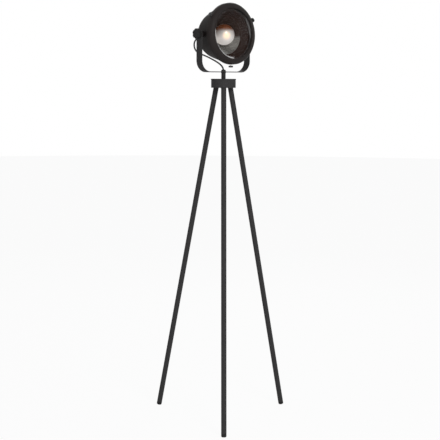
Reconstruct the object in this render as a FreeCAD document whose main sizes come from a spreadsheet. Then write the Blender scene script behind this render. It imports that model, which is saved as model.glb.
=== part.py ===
import FreeCAD, Part
import math
import os
import re

import Sketcher

# Tripod spotlight floor lamp: three splayed tube legs under a drum hub, a stem, a bent flat-bar
# yoke that pans on the stem, and a domed lamp head that tilts in the yoke.
# Millimetres. Origin on the floor under the hub; +Z up; the front leg points along -Y.
# Head pieces are drawn with X forward along the beam, Y along the tilt pivots and Z up,
# with the pivot centre as their origin, and are then turned and lifted into place.

SIZES = [
    ("foot_radius", 274.2, "leg axis to lamp axis at the floor"),
    ("leg_splay", 11.27, "degrees from upright"),
    ("leg_radius", 9.5, "19 mm tube"),
    ("leg_wall", 1.5, "tube wall"),
    ("leg_grip", 17.0, "tube inside the hub"),
    ("leg_slack", 0.1, "gap round the tube in its socket"),
    ("foot_cap_depth", 11.0, "foot cap outside the tube"),
    ("foot_plug_depth", 14.0, "foot cap inside the tube"),
    ("foot_rounding", 5.0, "foot cap edge"),
    ("foot_lift", 0.475, "end of the cap above the floor, so that a flat is worn on it"),
    ("hub_bottom", 1224.4, "underside of the hub above the floor"),
    ("hub_radius", 44.8, "drum"),
    ("hub_height", 29.0, "drum without its lid"),
    ("hub_edge", 1.0, "rounding of the lower rim"),
    ("hub_core", 13.5, "radius of the wiring space"),
    ("hub_floor", 4.5, "floor of the wiring space"),
    ("lid_radius", 45.8, "lid"),
    ("lid_depth", 3.4, "lid"),
    ("lid_edge", 0.6, "bevel of the lid"),
    ("lid_screw_ring", 36.0, "lid screws from the axis"),
    ("lid_screw_head", 3.6, "radius"),
    ("lid_screw_shank", 1.9, "radius"),
    ("lid_screw_depth", 9.0, "shank below the lid"),
    ("bolt_head", 6.5, "radius of the leg bolts' heads"),
    ("bolt_head_depth", 5.0, "leg bolts' heads"),
    ("bolt_shank", 3.95, "radius"),
    ("bolt_seat", 22.5, "bolt seat above the hub's underside, along the leg"),
    ("bolt_reach", 20.0, "shank below the seat"),
    ("insert_depth", 22.0, "threaded plug in each tube"),
    ("outlet_hole", 7.0, "radius in the hub's floor"),
    ("outlet_bore", 3.8, "radius of the cable outlet"),
    ("outlet_flange", 10.0, "radius"),
    ("outlet_lip", 1.5, "flange thickness"),
    ("pipe_radius", 5.0, "threaded pipe, 10 mm"),
    ("pipe_bore", 3.5, "radius"),
    ("pipe_slack", 0.1, "gap round the pipe"),
    ("nut_flats", 8.0, "half the width across the lock nut's flats"),
    ("nut_depth", 6.0, "lock nut"),
    ("nut_washer", 1.5, "washer over the lock nut"),
    ("stem_radius", 8.0, "16 mm stem sleeve"),
    ("stem_top", 1278.0, "top of the sleeve"),
    ("pan_disc_radius", 9.0, "discs that the yoke turns between"),
    ("pan_disc_lower", 2.0, "thickness"),
    ("pan_disc_upper", 1.2, "thickness"),
    ("gland_depth", 6.0, "cord nut on top of the pipe"),
    ("gland_skirt", 3.0, "straight part of the cord nut"),
    ("gland_crown", 5.6, "radius at its top"),
    ("gland_mouth", 4.8, "radius of the flared mouth"),
    ("pipe_in_gland", 2.0, "pipe inside the cord nut"),
    ("flex_in_pipe", 9.3, "free flex inside the threaded pipe"),
    ("cord_radius", 3.0, "6 mm flex"),
    ("pivot_height", 1415.2, "tilt pivots above the floor"),
    ("pan_angle", 39.5, "degrees that the head faces away from the front leg"),
    ("nose_up", 3.3, "degrees above level"),
    ("yoke_half", 116.5, "middle to the outside of an arm"),
    ("yoke_thick", 3.0, "flat bar"),
    ("yoke_width", 30.0, "flat bar"),
    ("yoke_drop", 135.2, "pivots to the underside of the bar"),
    ("yoke_corner", 42.0, "outside bend radius"),
    ("stud_radius", 3.9, "tilt studs, 8 mm"),
    ("stud_in_knob", 9.0, "stud inside a hand knob"),
    ("knob_gap", 0.1, "hand knob backed off its disc"),
    ("stud_slack", 0.2, "gap round a tilt stud"),
    ("tilt_disc_radius", 10.5, "friction discs at the pivots"),
    ("tilt_disc_depth", 1.2, "thickness"),
    ("knob_radius", 19.0, "hand knob"),
    ("knob_depth", 16.0, "hand knob"),
    ("knob_edge", 2.5, "rounding"),
    ("knob_notch", 6.0, "radius of the finger notches"),
    ("dome_radius", 89.0, "spherical back of the housing"),
    ("dome_centre", -8.2, "behind the pivots"),
    ("flare_angle", 18.2, "degrees, cone between the dome and the rim"),
    ("shell_thick", 1.5, "spun housing"),
    ("rim_radius", 106.6, "housing rim inside the bezel"),
    ("rim_front", 45.5, "front edge of the housing rim"),
    ("boss_radius", 10.0, "pivot bosses"),
    ("boss_bore_depth", 14.0, "tapped hole in a boss"),
    ("back_hole", 5.3, "radius of the hole at the back of the dome"),
    ("bezel_back", 31.9, "back edge of the bezel band"),
    ("bezel_radius", 109.7, "bezel"),
    ("bezel_shoulder", 46.8, "where the band turns into the rounded face"),
    ("bezel_front", 57.2, "front of the lip"),
    ("bezel_opening", 89.8, "radius of the clear opening"),
    ("bezel_skirt", 101.5, "outer radius of the lens seat"),
    ("lens_pocket", 99.0, "radius of the lens seat"),
    ("lens_stop", 48.0, "face that the gasket rests on"),
    ("lens_radius", 98.7, "lens"),
    ("lens_thick", 2.8, "lens"),
    ("lens_flat", 88.0, "radius where the flat rim turns into the crown"),
    ("lens_crown", 4.0, "rise of the crown"),
    ("gasket_thick", 0.8, "in front of the lens"),
    ("gasket_inner", 91.0, "radius"),
    ("clip_inner", 95.5, "radius of the spring ring behind the lens"),
    ("clip_thick", 1.4, "spring ring"),
    ("screw_station", 41.5, "bezel screws forward of the pivots"),
    ("screw_angle", 26.2, "degrees, first bezel screw above the pivot line"),
    ("screw_tip", 102.2, "inner end of a bezel screw from the beam axis"),
    ("screw_shank", 2.0, "radius"),
    ("screw_head", 8.0, "radius"),
    ("screw_head_start", 114.7, "inner face of the head"),
    ("screw_head_end", 120.2, "outer face of the head"),
    ("rim_nut_half", 4.0, "half the side of the nuts inside the rim"),
    ("rim_nut_start", 101.8, "inner face of those nuts"),
    ("hood_front", 33.8, "front of the flared surround behind the lens"),
    ("hood_back", 10.0, "where it meets the reflector"),
    ("hood_wide", 90.5, "radius at its front"),
    ("hood_narrow", 71.0, "radius at its back"),
    ("hood_flange", 104.9, "radius of its flange in the housing rim"),
    ("dish_flange", 77.0, "radius of the reflector's flange"),
    ("dish_back", -62.0, "where the reflector ends round the holder"),
    ("dish_back_radius", 22.5, "its rear opening"),
    ("sheet_thick", 0.8, "spun sheet of both"),
    ("holder_radius", 19.5, "lamp holder"),
    ("holder_back", -88.0, "back of the lamp holder"),
    ("holder_front", -44.0, "front of the lamp holder"),
    ("holder_bore", 13.8, "radius"),
    ("holder_floor", -66.0, "contact floor inside the holder"),
    ("cap_radius", 13.2, "bulb's screw cap"),
    ("cap_front", -40.8, "where the cap meets the glass"),
    ("bulb_radius", 37.5, "75 mm globe"),
    ("neck_radius", 12.5, "bulb's neck"),
    ("neck_fillet", 10.0, "neck to globe"),
    ("bulb_centre", 2.0, "forward of the pivots"),
    ("bulb_wall", 1.0, "glass"),
    ("nipple_front", -83.0, "front end of the threaded nipple"),
    ("nipple_back", -106.0, "rear end of the threaded nipple"),
    ("back_nut_front", -90.6, "front face of the nut inside the dome"),
    ("back_nut_back", -94.9, "rear face of the nut inside the dome"),
    ("grip_front", -97.1, "cord grip against the dome"),
    ("grip_back", -117.0, "end of the cord grip"),
    ("grip_radius", 9.0, "cord grip"),
    ("grip_tip", 4.6, "radius at its end"),
]

doc = FreeCAD.newDocument("tripod_spotlight")
sheet = doc.addObject("Spreadsheet::Sheet", "Sizes")
for line, (alias, number, note) in enumerate(SIZES, 1):
    sheet.set(f"A{line}", alias)
    sheet.set(f"B{line}", str(number))
    sheet.setAlias(f"B{line}", alias)
    sheet.set(f"C{line}", note)
doc.recompute()

ALIASES = {alias for alias, number, note in SIZES}
PARTS = {}
CUTS = []


# ---------------------------------------------------------------- sheet and document helpers

def in_sheet(words):
    """The same expression with every size looked up in the sheet."""
    return re.sub(r"[a-z][a-z_]*", lambda word: "Sizes." + word.group() if word.group() in ALIASES
                  else word.group(), words)


def value(words):
    """What an expression on the sheet comes to now."""
    result = sheet.evalExpression(words)
    return float(getattr(result, "Value", result))


def move(x, y, z):
    return f"placement(vector({x}; {y}; {z}); rotation(vector(0; 0; 1); 0))"


def turn(axis, angle):
    return f"placement(vector(0; 0; 0); rotation(vector({axis}); {angle}))"


ABOUT_X = "1; 0; 0"
ABOUT_Y = "0; 1; 0"
ABOUT_Z = "0; 0; 1"
AT_YOKE = f"{move('0', '0', 'pivot_height')} * {turn(ABOUT_Z, 'pan_angle - 90')}"
AT_HEAD = f"{AT_YOKE} * {turn(ABOUT_Y, '-nose_up')}"


def new_body(label, place=None):
    body = doc.addObject("PartDesign::Body", label)
    body.Label = label
    if place:
        body.setExpression("Placement", in_sheet(place))
    PARTS[label] = body
    return body


def origin_of(body, role):
    return next(item for item in body.Origin.OriginFeatures if item.Role == role)


def new_sketch(body, role, offset=None):
    sketch = body.newObject("Sketcher::SketchObject", f"{body.Label}_sketch")
    sketch.AttachmentSupport = [(origin_of(body, role), "")]
    sketch.MapMode = "FlatFace"
    if offset:
        sketch.setExpression("AttachmentOffset", in_sheet(offset))
    return sketch


def hold_point(sketch, piece, end, across, up):
    """Tie a point of the sketch to its place in words of the sheet."""
    for kind, words, axis in (("DistanceX", across, -2), ("DistanceY", up, -1)):
        if abs(value(words)) < 1e-9:
            sketch.addConstraint(Sketcher.Constraint("PointOnObject", piece, end, axis))
        else:
            rule = Sketcher.Constraint(kind, -1, 1, piece, end, value(words))
            number = sketch.addConstraint(rule)
            sketch.setExpression(f"Constraints[{number}]", in_sheet(words))


def add_circle(sketch, across, up, radius):
    centre = FreeCAD.Vector(value(across), value(up), 0)
    circle = sketch.addGeometry(Part.Circle(centre, FreeCAD.Vector(0, 0, 1), value(radius)), False)
    number = sketch.addConstraint(Sketcher.Constraint("Radius", circle, value(radius)))
    sketch.setExpression(f"Constraints[{number}]", in_sheet(radius))
    hold_point(sketch, circle, 3, across, up)


def arc_between(start, end, radius):
    """Arc from start to end; a plus radius travels anticlockwise, a minus radius clockwise."""
    chord = end - start
    height = math.sqrt(max(radius ** 2 - (chord.Length / 2) ** 2, 0))
    side = FreeCAD.Vector(-chord.y, chord.x, 0).normalize() * math.copysign(height, radius)
    centre = (start + end) / 2 + side
    first, last = (start, end) if radius > 0 else (end, start)
    angles = [math.atan2(point.y - centre.y, point.x - centre.x) for point in (first, last)]
    circle = Part.Circle(centre, FreeCAD.Vector(0, 0, 1), abs(radius))
    return Part.ArcOfCircle(circle, angles[0], angles[1])


def add_outline(sketch, corners):
    """Closed outline through corners (across, up) in words of the sheet.

    A third word is the radius of the arc that ends at the corner, plus for anticlockwise travel.
    """
    points = [FreeCAD.Vector(value(corner[0]), value(corner[1]), 0) for corner in corners]
    sides = []
    for index, corner in enumerate(corners):
        start, end = points[index - 1], points[index]
        if len(corner) == 2:
            piece = sketch.addGeometry(Part.LineSegment(start, end), False)
            sides.append((piece, 1, 2))
            continue
        radius = value(corner[2])
        piece = sketch.addGeometry(arc_between(start, end, radius), False)
        sides.append((piece, 1, 2) if radius > 0 else (piece, 2, 1))
        number = sketch.addConstraint(Sketcher.Constraint("Radius", piece, abs(radius)))
        sketch.setExpression(f"Constraints[{number}]", in_sheet(f"abs({corner[2]})"))
    for index, corner in enumerate(corners):
        piece, first, last = sides[index]
        after = sides[(index + 1) % len(sides)]
        sketch.addConstraint(Sketcher.Constraint("Coincident", piece, last, after[0], after[1]))
        hold_point(sketch, piece, last, corner[0], corner[1])


def turned(label, corners, place=None, about="V_Axis", offset=None, role="XZ_Plane"):
    """A body of revolution: the outline on the XZ plane, turned about Z or, with H_Axis, about X."""
    body = new_body(label, place)
    add_turning(body, corners, about, offset, role)
    return body


def add_turning(body, corners, about="V_Axis", offset=None, role="XZ_Plane"):
    sketch = new_sketch(body, role, offset)
    add_outline(sketch, corners)
    doc.recompute()
    feature = body.newObject("PartDesign::Revolution", f"{body.Label}_turned")
    feature.Profile = sketch
    feature.ReferenceAxis = (sketch, [about])
    feature.Angle = 360
    doc.recompute()
    return feature


def add_pad(body, draw, length, role="XY_Plane", offset=None, side="One side", reverse=False):
    sketch = new_sketch(body, role, offset)
    draw(sketch)
    doc.recompute()
    feature = body.newObject("PartDesign::Pad", f"{body.Label}_pad")
    feature.Profile = sketch
    feature.SideType = side
    feature.Reversed = reverse
    if length == "to the wall":
        feature.Type = "UpToFirst"
    else:
        feature.setExpression("Length", in_sheet(length))
    doc.recompute()
    return feature


def add_pocket(body, draw, length, role="XY_Plane", offset=None, side="One side", reverse=False):
    sketch = new_sketch(body, role, offset)
    draw(sketch)
    doc.recompute()
    feature = body.newObject("PartDesign::Pocket", f"{body.Label}_pocket")
    feature.Profile = sketch
    feature.SideType = side
    feature.Reversed = reverse
    feature.setExpression("Length", in_sheet(length))
    doc.recompute()
    CUTS.append(feature)
    return feature


def repeat_round(body, features, role, count):
    pattern = body.newObject("PartDesign::PolarPattern", f"{body.Label}_round")
    pattern.Originals = features
    pattern.Axis = (origin_of(body, role), [""])
    pattern.Angle = 360
    pattern.Occurrences = count
    body.Tip = pattern
    doc.recompute()
    return pattern


def rings(*radii):
    """Concentric circles on the sketch's own origin."""
    def draw(sketch):
        for radius in radii:
            add_circle(sketch, "0", "0", radius)
    return draw


def circle_at(across, up, radius):
    return lambda sketch: add_circle(sketch, across, up, radius)


def outline(corners):
    return lambda sketch: add_outline(sketch, corners)


def tube_corners(inner, outer, low, high):
    """Section of a plain ring or washer."""
    return [(inner, low), (outer, low), (outer, high), (inner, high)]


def forward_ring(inner, outer, back, front):
    """Section of a ring that is turned about the beam."""
    return [(back, inner), (front, inner), (front, outer), (back, outer)]


def hexagon(flats):
    """Hexagon with its flats this far from the middle."""
    corners = []
    for step in range(6):
        angle = 60 * step + 30
        corners.append((f"{flats} / cos(30) * cos({angle})", f"{flats} / cos(30) * sin({angle})"))
    return corners


# ---------------------------------------------------------------- tripod

LEG_NAMES = ("front", "right", "left")
FOOT_END = "foot_lift / cos(leg_splay)"
TUBE_END = f"({FOOT_END} + foot_cap_depth)"
LEG_TOP_RADIUS = "(foot_radius - hub_bottom * tan(leg_splay))"


def leg_place(index):
    return turn(ABOUT_Z, str(120 * index))


def on_leg(along):
    """Sketch plane square to the front leg, this far up its axis from the floor."""
    return (f"{move('0', f'-foot_radius + ({along}) * sin(leg_splay)', f'({along}) * cos(leg_splay)')}"
            f" * {turn(ABOUT_X, '-leg_splay')}")


def in_hub(along):
    """The same, measured from the hub's underside, in the hub's own frame."""
    return (f"{move('0', f'-{LEG_TOP_RADIUS} + ({along}) * sin(leg_splay)', f'({along}) * cos(leg_splay)')}"
            f" * {turn(ABOUT_X, '-leg_splay')}")


def make_leg(index):
    leg = new_body(f"leg_{LEG_NAMES[index]}", leg_place(index))
    length = f"hub_bottom / cos(leg_splay) + leg_grip - {TUBE_END}"
    add_pad(leg, rings("leg_radius", "leg_radius - leg_wall"), length, offset=on_leg(TUBE_END))


def make_foot_cap(index):
    """Moulded cap: rounded end, a plug inside the tube, and the flat that it stands on."""
    cap = new_body(f"foot_cap_{LEG_NAMES[index]}", leg_place(index))
    corners = [
        ("0", "0"),
        ("leg_radius - foot_rounding", "0"),
        ("leg_radius", "foot_rounding", "foot_rounding"),
        ("leg_radius", "foot_cap_depth"),
        ("leg_radius - leg_wall - 0.1", "foot_cap_depth"),
        ("leg_radius - leg_wall - 0.1", "foot_cap_depth + foot_plug_depth"),
        ("0", "foot_cap_depth + foot_plug_depth"),
    ]
    along = (f"{move(f'-foot_radius + {FOOT_END} * sin(leg_splay)', 'foot_lift', '0')}"
             f" * {turn(ABOUT_Z, '-leg_splay')}")
    add_turning(cap, corners, offset=along, role="YZ_Plane")
    add_pocket(cap, circle_at("0", "-foot_radius", "leg_radius * 2"), "foot_rounding")


def make_leg_inserts():
    """Threaded plugs fixed in the tops of the tubes."""
    inserts = new_body("leg_inserts")
    start = "hub_bottom / cos(leg_splay) + leg_grip - insert_depth"
    plug = add_pad(inserts, rings("leg_radius - leg_wall - 0.05", "bolt_shank + 0.05"), "insert_depth",
                   offset=on_leg(start))
    repeat_round(inserts, [plug], "Z_Axis", 3)


def make_leg_bolts():
    """Cap screws that pull the legs up into the hub, with hexagon sockets."""
    bolts = new_body("leg_bolts", move("0", "0", "hub_bottom"))
    shank = add_pad(bolts, rings("bolt_shank"), "bolt_reach + 0.5", offset=in_hub("bolt_seat - bolt_reach"))
    head = add_pad(bolts, rings("bolt_head"), "bolt_head_depth", offset=in_hub("bolt_seat"))
    key = add_pocket(bolts, outline(hexagon("3")), "3", offset=in_hub("bolt_seat + bolt_head_depth"))
    repeat_round(bolts, [shank, head, key], "Z_Axis", 3)


def make_hub():
    corners = [
        ("outlet_hole", "0"),
        ("hub_radius - hub_edge", "0"),
        ("hub_radius", "hub_edge", "hub_edge"),
        ("hub_radius", "hub_height"),
        ("hub_core", "hub_height"),
        ("hub_core", "hub_floor"),
        ("outlet_hole", "hub_floor"),
    ]
    hub = turned("hub_drum", corners, move("0", "0", "hub_bottom"))
    socket = add_pocket(hub, rings("leg_radius + leg_slack"), "leg_grip + 1 + 4", offset=in_hub("-4"),
                        reverse=True)
    bolt_way = add_pocket(hub, rings("bolt_shank + 0.25"), "bolt_seat", offset=in_hub("1"), reverse=True)
    bolt_seat = add_pocket(hub, rings("bolt_head + 0.5"), "hub_height", offset=in_hub("bolt_seat"),
                           reverse=True)
    screw_way = add_pocket(hub, circle_at("lid_screw_ring * cos(30)", "lid_screw_ring * sin(-30)",
                                          "lid_screw_shank + 0.05"),
                           "lid_screw_depth + 1", offset=move("0", "0", "hub_height"))
    repeat_round(hub, [socket, bolt_way, bolt_seat, screw_way], "Z_Axis", 3)


def make_lid():
    corners = [
        ("pipe_radius + pipe_slack", "0"),
        ("lid_radius - lid_edge", "0"),
        ("lid_radius", "lid_edge"),
        ("lid_radius", "lid_depth - lid_edge"),
        ("lid_radius - lid_edge", "lid_depth"),
        ("pipe_radius + pipe_slack", "lid_depth"),
    ]
    lid = turned("hub_lid", corners, move("0", "0", "hub_bottom + hub_height"))
    at = ("lid_screw_ring * cos(30)", "lid_screw_ring * sin(-30)")
    hole = add_pocket(lid, circle_at(*at, "lid_screw_shank + 0.3"), "lid_depth", reverse=True)
    seat = add_pocket(lid, circle_at(*at, "lid_screw_head + 0.2"), "2", offset=move("0", "0", "lid_depth"))
    repeat_round(lid, [hole, seat], "Z_Axis", 3)


def make_lid_screws():
    """Low-head screws with hexagon sockets, sunk in the lid."""
    screws = new_body("lid_screws", move("0", "0", "hub_bottom + hub_height + lid_depth - 2"))
    at = ("lid_screw_ring * cos(30)", "lid_screw_ring * sin(-30)")
    head = add_pad(screws, circle_at(*at, "lid_screw_head"), "1.9")
    shank = add_pad(screws, circle_at(*at, "lid_screw_shank"), "lid_screw_depth", reverse=True)
    hexagon_at = [(f"{at[0]} + {x}", f"{at[1]} + {y}") for x, y in hexagon("1.25")]
    key = add_pocket(screws, outline(hexagon_at), "1.3", offset=move("0", "0", "1.9"))
    repeat_round(screws, [head, shank, key], "Z_Axis", 3)


def make_outlet_grommet():
    """Rubber bush in the hub's floor, for the supply cable."""
    corners = [
        ("outlet_bore", "-outlet_lip"),
        ("outlet_flange - 0.7", "-outlet_lip"),
        ("outlet_flange", "-outlet_lip + 0.7"),
        ("outlet_flange", "0"),
        ("outlet_hole", "0"),
        ("outlet_hole", "hub_floor"),
        ("outlet_hole + 2", "hub_floor"),
        ("outlet_hole + 2", "hub_floor + outlet_lip"),
        ("outlet_bore", "hub_floor + outlet_lip"),
    ]
    turned("cable_outlet_grommet", corners, move("0", "0", "hub_bottom"))


def make_terminal_block():
    """Two-way connector that joins the supply to the flex inside the stem."""
    block = new_body("terminal_block", move("0", "0", "hub_bottom + hub_floor + outlet_lip"))
    add_pad(block, outline([("-7", "-5"), ("7", "-5"), ("7", "5"), ("-7", "5")]), "9")
    ways = add_pocket(block, circle_at("-4.6", "4.6", "1.2"), "20", role="XZ_Plane", side="Symmetric")
    mirror = body_mirror(block, [ways], "YZ_Plane")
    block.Tip = mirror


def body_mirror(body, features, role):
    mirror = body.newObject("PartDesign::Mirrored", f"{body.Label}_mirror")
    mirror.Originals = features
    mirror.MirrorPlane = (origin_of(body, role), [""])
    body.Tip = mirror
    doc.recompute()
    return mirror


# ---------------------------------------------------------------- stem

HUB_TOP = "(hub_bottom + hub_height + lid_depth)"
LID_UNDER = "(hub_bottom + hub_height)"
YOKE_TOP = "(pivot_height - yoke_drop + yoke_thick)"
GLAND_SEAT = f"({YOKE_TOP} + pan_disc_upper)"
PIPE_TOP = f"({GLAND_SEAT} + pipe_in_gland)"


def make_stem():
    bore = "pipe_radius + pipe_slack"
    pipe = new_body("threaded_pipe", move("0", "0", f"{LID_UNDER} - nut_washer - nut_depth - 1.5"))
    add_pad(pipe, rings("pipe_radius", "pipe_bore"),
            f"{PIPE_TOP} - {LID_UNDER} + nut_washer + nut_depth + 1.5")
    nut = new_body("lock_nut", move("0", "0", f"{LID_UNDER} - nut_washer - nut_depth"))
    add_pad(nut, outline(hexagon("nut_flats")), "nut_depth")
    add_pocket(nut, rings(bore), "nut_depth", reverse=True)
    turned("lock_washer", tube_corners(bore, "pan_disc_radius + 1", "0", "nut_washer"),
           move("0", "0", f"{LID_UNDER} - nut_washer"))
    turned("stem_sleeve", tube_corners(bore, "stem_radius", "0", f"stem_top - {HUB_TOP}"),
           move("0", "0", HUB_TOP))
    turned("pan_disc_lower", tube_corners(bore, "pan_disc_radius", "0", "pan_disc_lower"),
           move("0", "0", "stem_top"))
    turned("pan_disc_upper", tube_corners(bore, "pan_disc_radius", "0", "pan_disc_upper"),
           move("0", "0", YOKE_TOP))
    core_start = "hub_bottom + hub_floor + outlet_lip + 9"
    core = new_body("stem_flex", move("0", "0", core_start))
    add_pad(core, rings("cord_radius"), f"{PIPE_TOP} - flex_in_pipe - ({core_start})")


def make_cord_nut():
    """Nut that clamps the yoke and lets the flex out through a flared mouth."""
    corners = [
        ("pipe_radius + pipe_slack", "0"),
        ("pan_disc_radius", "0"),
        ("pan_disc_radius", "gland_skirt"),
        ("gland_crown", "gland_depth"),
        ("gland_mouth", "gland_depth"),
        ("pipe_bore", "pipe_in_gland + 1.2"),
        ("pipe_bore", "pipe_in_gland"),
        ("pipe_radius + pipe_slack", "pipe_in_gland"),
    ]
    nut = turned("cord_nut", corners, move("0", "0", GLAND_SEAT))
    flat = [("pan_disc_radius * 0.92", "-6"), ("pan_disc_radius + 2", "-6"),
            ("pan_disc_radius + 2", "6"), ("pan_disc_radius * 0.92", "6")]
    cut = add_pocket(nut, outline(flat), "gland_skirt", reverse=True)
    repeat_round(nut, [cut], "Z_Axis", 8)


# ---------------------------------------------------------------- yoke and cord

def make_yoke():
    """One flat bar bent to a U, with a hole for the pipe and one for each tilt stud."""
    inner_corner = "yoke_corner - yoke_thick"
    inside = "yoke_half - yoke_thick"
    bend = "yoke_half - yoke_corner"
    low, floor = "-yoke_drop", "-yoke_drop + yoke_thick"
    bend_top = "-yoke_drop + yoke_corner"
    top = "yoke_width / 2"
    corners = [
        (f"-({bend})", low, "yoke_corner"),
        (bend, low),
        ("yoke_half", bend_top, "yoke_corner"),
        ("yoke_half", top),
        (inside, top),
        (inside, bend_top),
        (bend, floor, f"-({inner_corner})"),
        (f"-({bend})", floor),
        (f"-({inside})", bend_top, f"-({inner_corner})"),
        (f"-({inside})", top),
        ("-yoke_half", top),
        ("-yoke_half", bend_top),
    ]
    yoke = new_body("yoke", AT_YOKE)
    bar = add_pad(yoke, outline(corners), "yoke_width", role="YZ_Plane", side="Symmetric")
    ends = []
    for number, edge in enumerate(bar.Shape.Edges, 1):
        middle = edge.CenterOfMass
        if abs(edge.Length - value("yoke_thick")) < 0.01 and abs(middle.z - value(top)) < 0.01:
            ends.append(f"Edge{number}")
    rounding = yoke.newObject("PartDesign::Fillet", "yoke_ends")
    rounding.Base = (bar, ends)
    rounding.setExpression("Radius", in_sheet("yoke_width / 2 - 0.01"))
    doc.recompute()
    add_pocket(yoke, rings("stud_radius + stud_slack"), "yoke_half * 3", role="XZ_Plane", side="Symmetric")
    add_pocket(yoke, rings("pipe_radius + pipe_slack"), "yoke_drop * 3", side="Symmetric")


def make_tilt_discs():
    """Fibre discs each side of both arms."""
    section = tube_corners("stud_radius + stud_slack", "tilt_disc_radius", "0", "tilt_disc_depth")
    spin = turn(ABOUT_X, "90")
    places = (("left", "-(yoke_half - yoke_thick - tilt_disc_depth)", "-yoke_half"),
              ("right", "yoke_half - yoke_thick", "yoke_half + tilt_disc_depth"))
    for side, inner_edge, outer_edge in places:
        turned(f"tilt_disc_{side}", section, f"{AT_YOKE} * {move('0', inner_edge, '0')} * {spin}")
        turned(f"knob_disc_{side}", section, f"{AT_YOKE} * {move('0', outer_edge, '0')} * {spin}")


# Free flex from the head's cord grip down to the cord nut, in the upright plane through the beam:
# distance forward of the pivots, and height above them.
CORD_ROUTE = [
    (-116.82, -6.73),
    (-138.5, -7.98),
    (-160.5, -16.0),
    (-171.5, -35.0),
    (-163.0, -54.0),
    (-140.5, -65.0),
    (-112.0, -71.8),
    (-84.0, -80.2),
    (-56.5, -89.7),
    (-29.0, -100.7),
    (-11.0, -110.5),
    (0.0, -123.1),
    (0.0, -138.3),
]


def rounded_path(points, share=0.45):
    """Straight runs joined by tangent arcs, each as large as its shorter run allows."""
    edges = []
    radii = []
    here = points[0]
    for before, corner, after in zip(points, points[1:], points[2:]):
        arrive = corner - before
        leave = after - corner
        half_turn = arrive.getAngle(leave) / 2
        back_off = share * min(arrive.Length, leave.Length)
        radii.append(back_off / math.tan(half_turn))
        start = corner - arrive.normalize() * back_off
        end = corner + leave.normalize() * back_off
        toward = ((start + end) / 2 - corner).normalize()
        sagitta = radii[-1] / math.cos(half_turn) - radii[-1]
        edges.append(Part.LineSegment(here, start).toShape())
        edges.append(Part.Arc(start, corner + toward * sagitta, end).toShape())
        here = end
    edges.append(Part.LineSegment(here, points[-1]).toShape())
    return Part.Wire(edges), radii


def make_free_flex():
    points = [FreeCAD.Vector(ahead, 0, up) for ahead, up in CORD_ROUTE]
    wire, radii = rounded_path(points)
    radius = value("cord_radius")
    section = Part.Wire(Part.Circle(points[0], points[1] - points[0], radius).toShape())
    tube = wire.makePipeShell([section], True, False)
    flex = doc.addObject("Part::Feature", "free_flex")
    flex.Label = "free_flex"
    flex.Shape = tube
    flex.Placement = FreeCAD.Placement(
        FreeCAD.Vector(0, 0, value("pivot_height")),
        FreeCAD.Rotation(FreeCAD.Vector(0, 0, 1), value("pan_angle") - 90))
    PARTS["free_flex"] = flex
    ratio = tube.Volume / (math.pi * radius ** 2 * wire.Length)
    print(f"flex: {wire.Length:.1f} mm long, volume over section times length {ratio:.4f}")
    print("flex bend radii:", " ".join(f"{bend:.0f}" for bend in radii))


# ---------------------------------------------------------------- head

TANGENT = ("dome_centre - {0} * sin(flare_angle)", "{0} * cos(flare_angle)")


def tangent_point(radius):
    """Where the dome of this radius runs into the cone."""
    return TANGENT[0].format(radius), TANGENT[1].format(radius)


def flare_end(radius, dome):
    """How far forward the cone outside this dome reaches this radius."""
    return f"dome_centre + (({radius}) * cos(flare_angle) - {dome}) / sin(flare_angle)"


def pole(dome, hole):
    return f"dome_centre - sqrt({dome} ^ 2 - ({hole}) ^ 2)"


def make_housing():
    """Spun shell: spherical back, flared cone and a straight rim, with two welded pivot bosses."""
    inner_dome = "(dome_radius - shell_thick)"
    inner_rim = "rim_radius - shell_thick"
    corners = [
        (pole("dome_radius", "back_hole"), "back_hole"),
        (*tangent_point("dome_radius"), "-dome_radius"),
        (flare_end("rim_radius", "dome_radius"), "rim_radius"),
        ("rim_front", "rim_radius"),
        ("rim_front", inner_rim),
        (flare_end(inner_rim, inner_dome), inner_rim),
        tangent_point(inner_dome),
        (pole(inner_dome, "back_hole"), "back_hole", inner_dome),
    ]
    shell = turned("housing_shell", corners, AT_HEAD, about="H_Axis")
    seat = "yoke_half - yoke_thick - tilt_disc_depth"
    boss = add_pad(shell, rings("boss_radius"), "to the wall", role="XZ_Plane",
                   offset=move("0", "0", seat), reverse=True)
    tapped = add_pocket(shell, rings("stud_radius + 0.05"), "boss_bore_depth", role="XZ_Plane",
                        offset=move("0", "0", seat))
    body_mirror(shell, [boss, tapped], "XZ_Plane")
    hole = add_pocket(shell, rings("screw_shank + 0.2"), "20", offset=on_bezel_screw("rim_radius + 5"))
    repeat_round(shell, [hole], "X_Axis", 3)


def on_bezel_screw(out):
    """Sketch plane square to the first bezel screw, this far from the beam axis."""
    return f"{turn(ABOUT_X, 'screw_angle - 90')} * {move('screw_station', '0', out)}"


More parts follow.
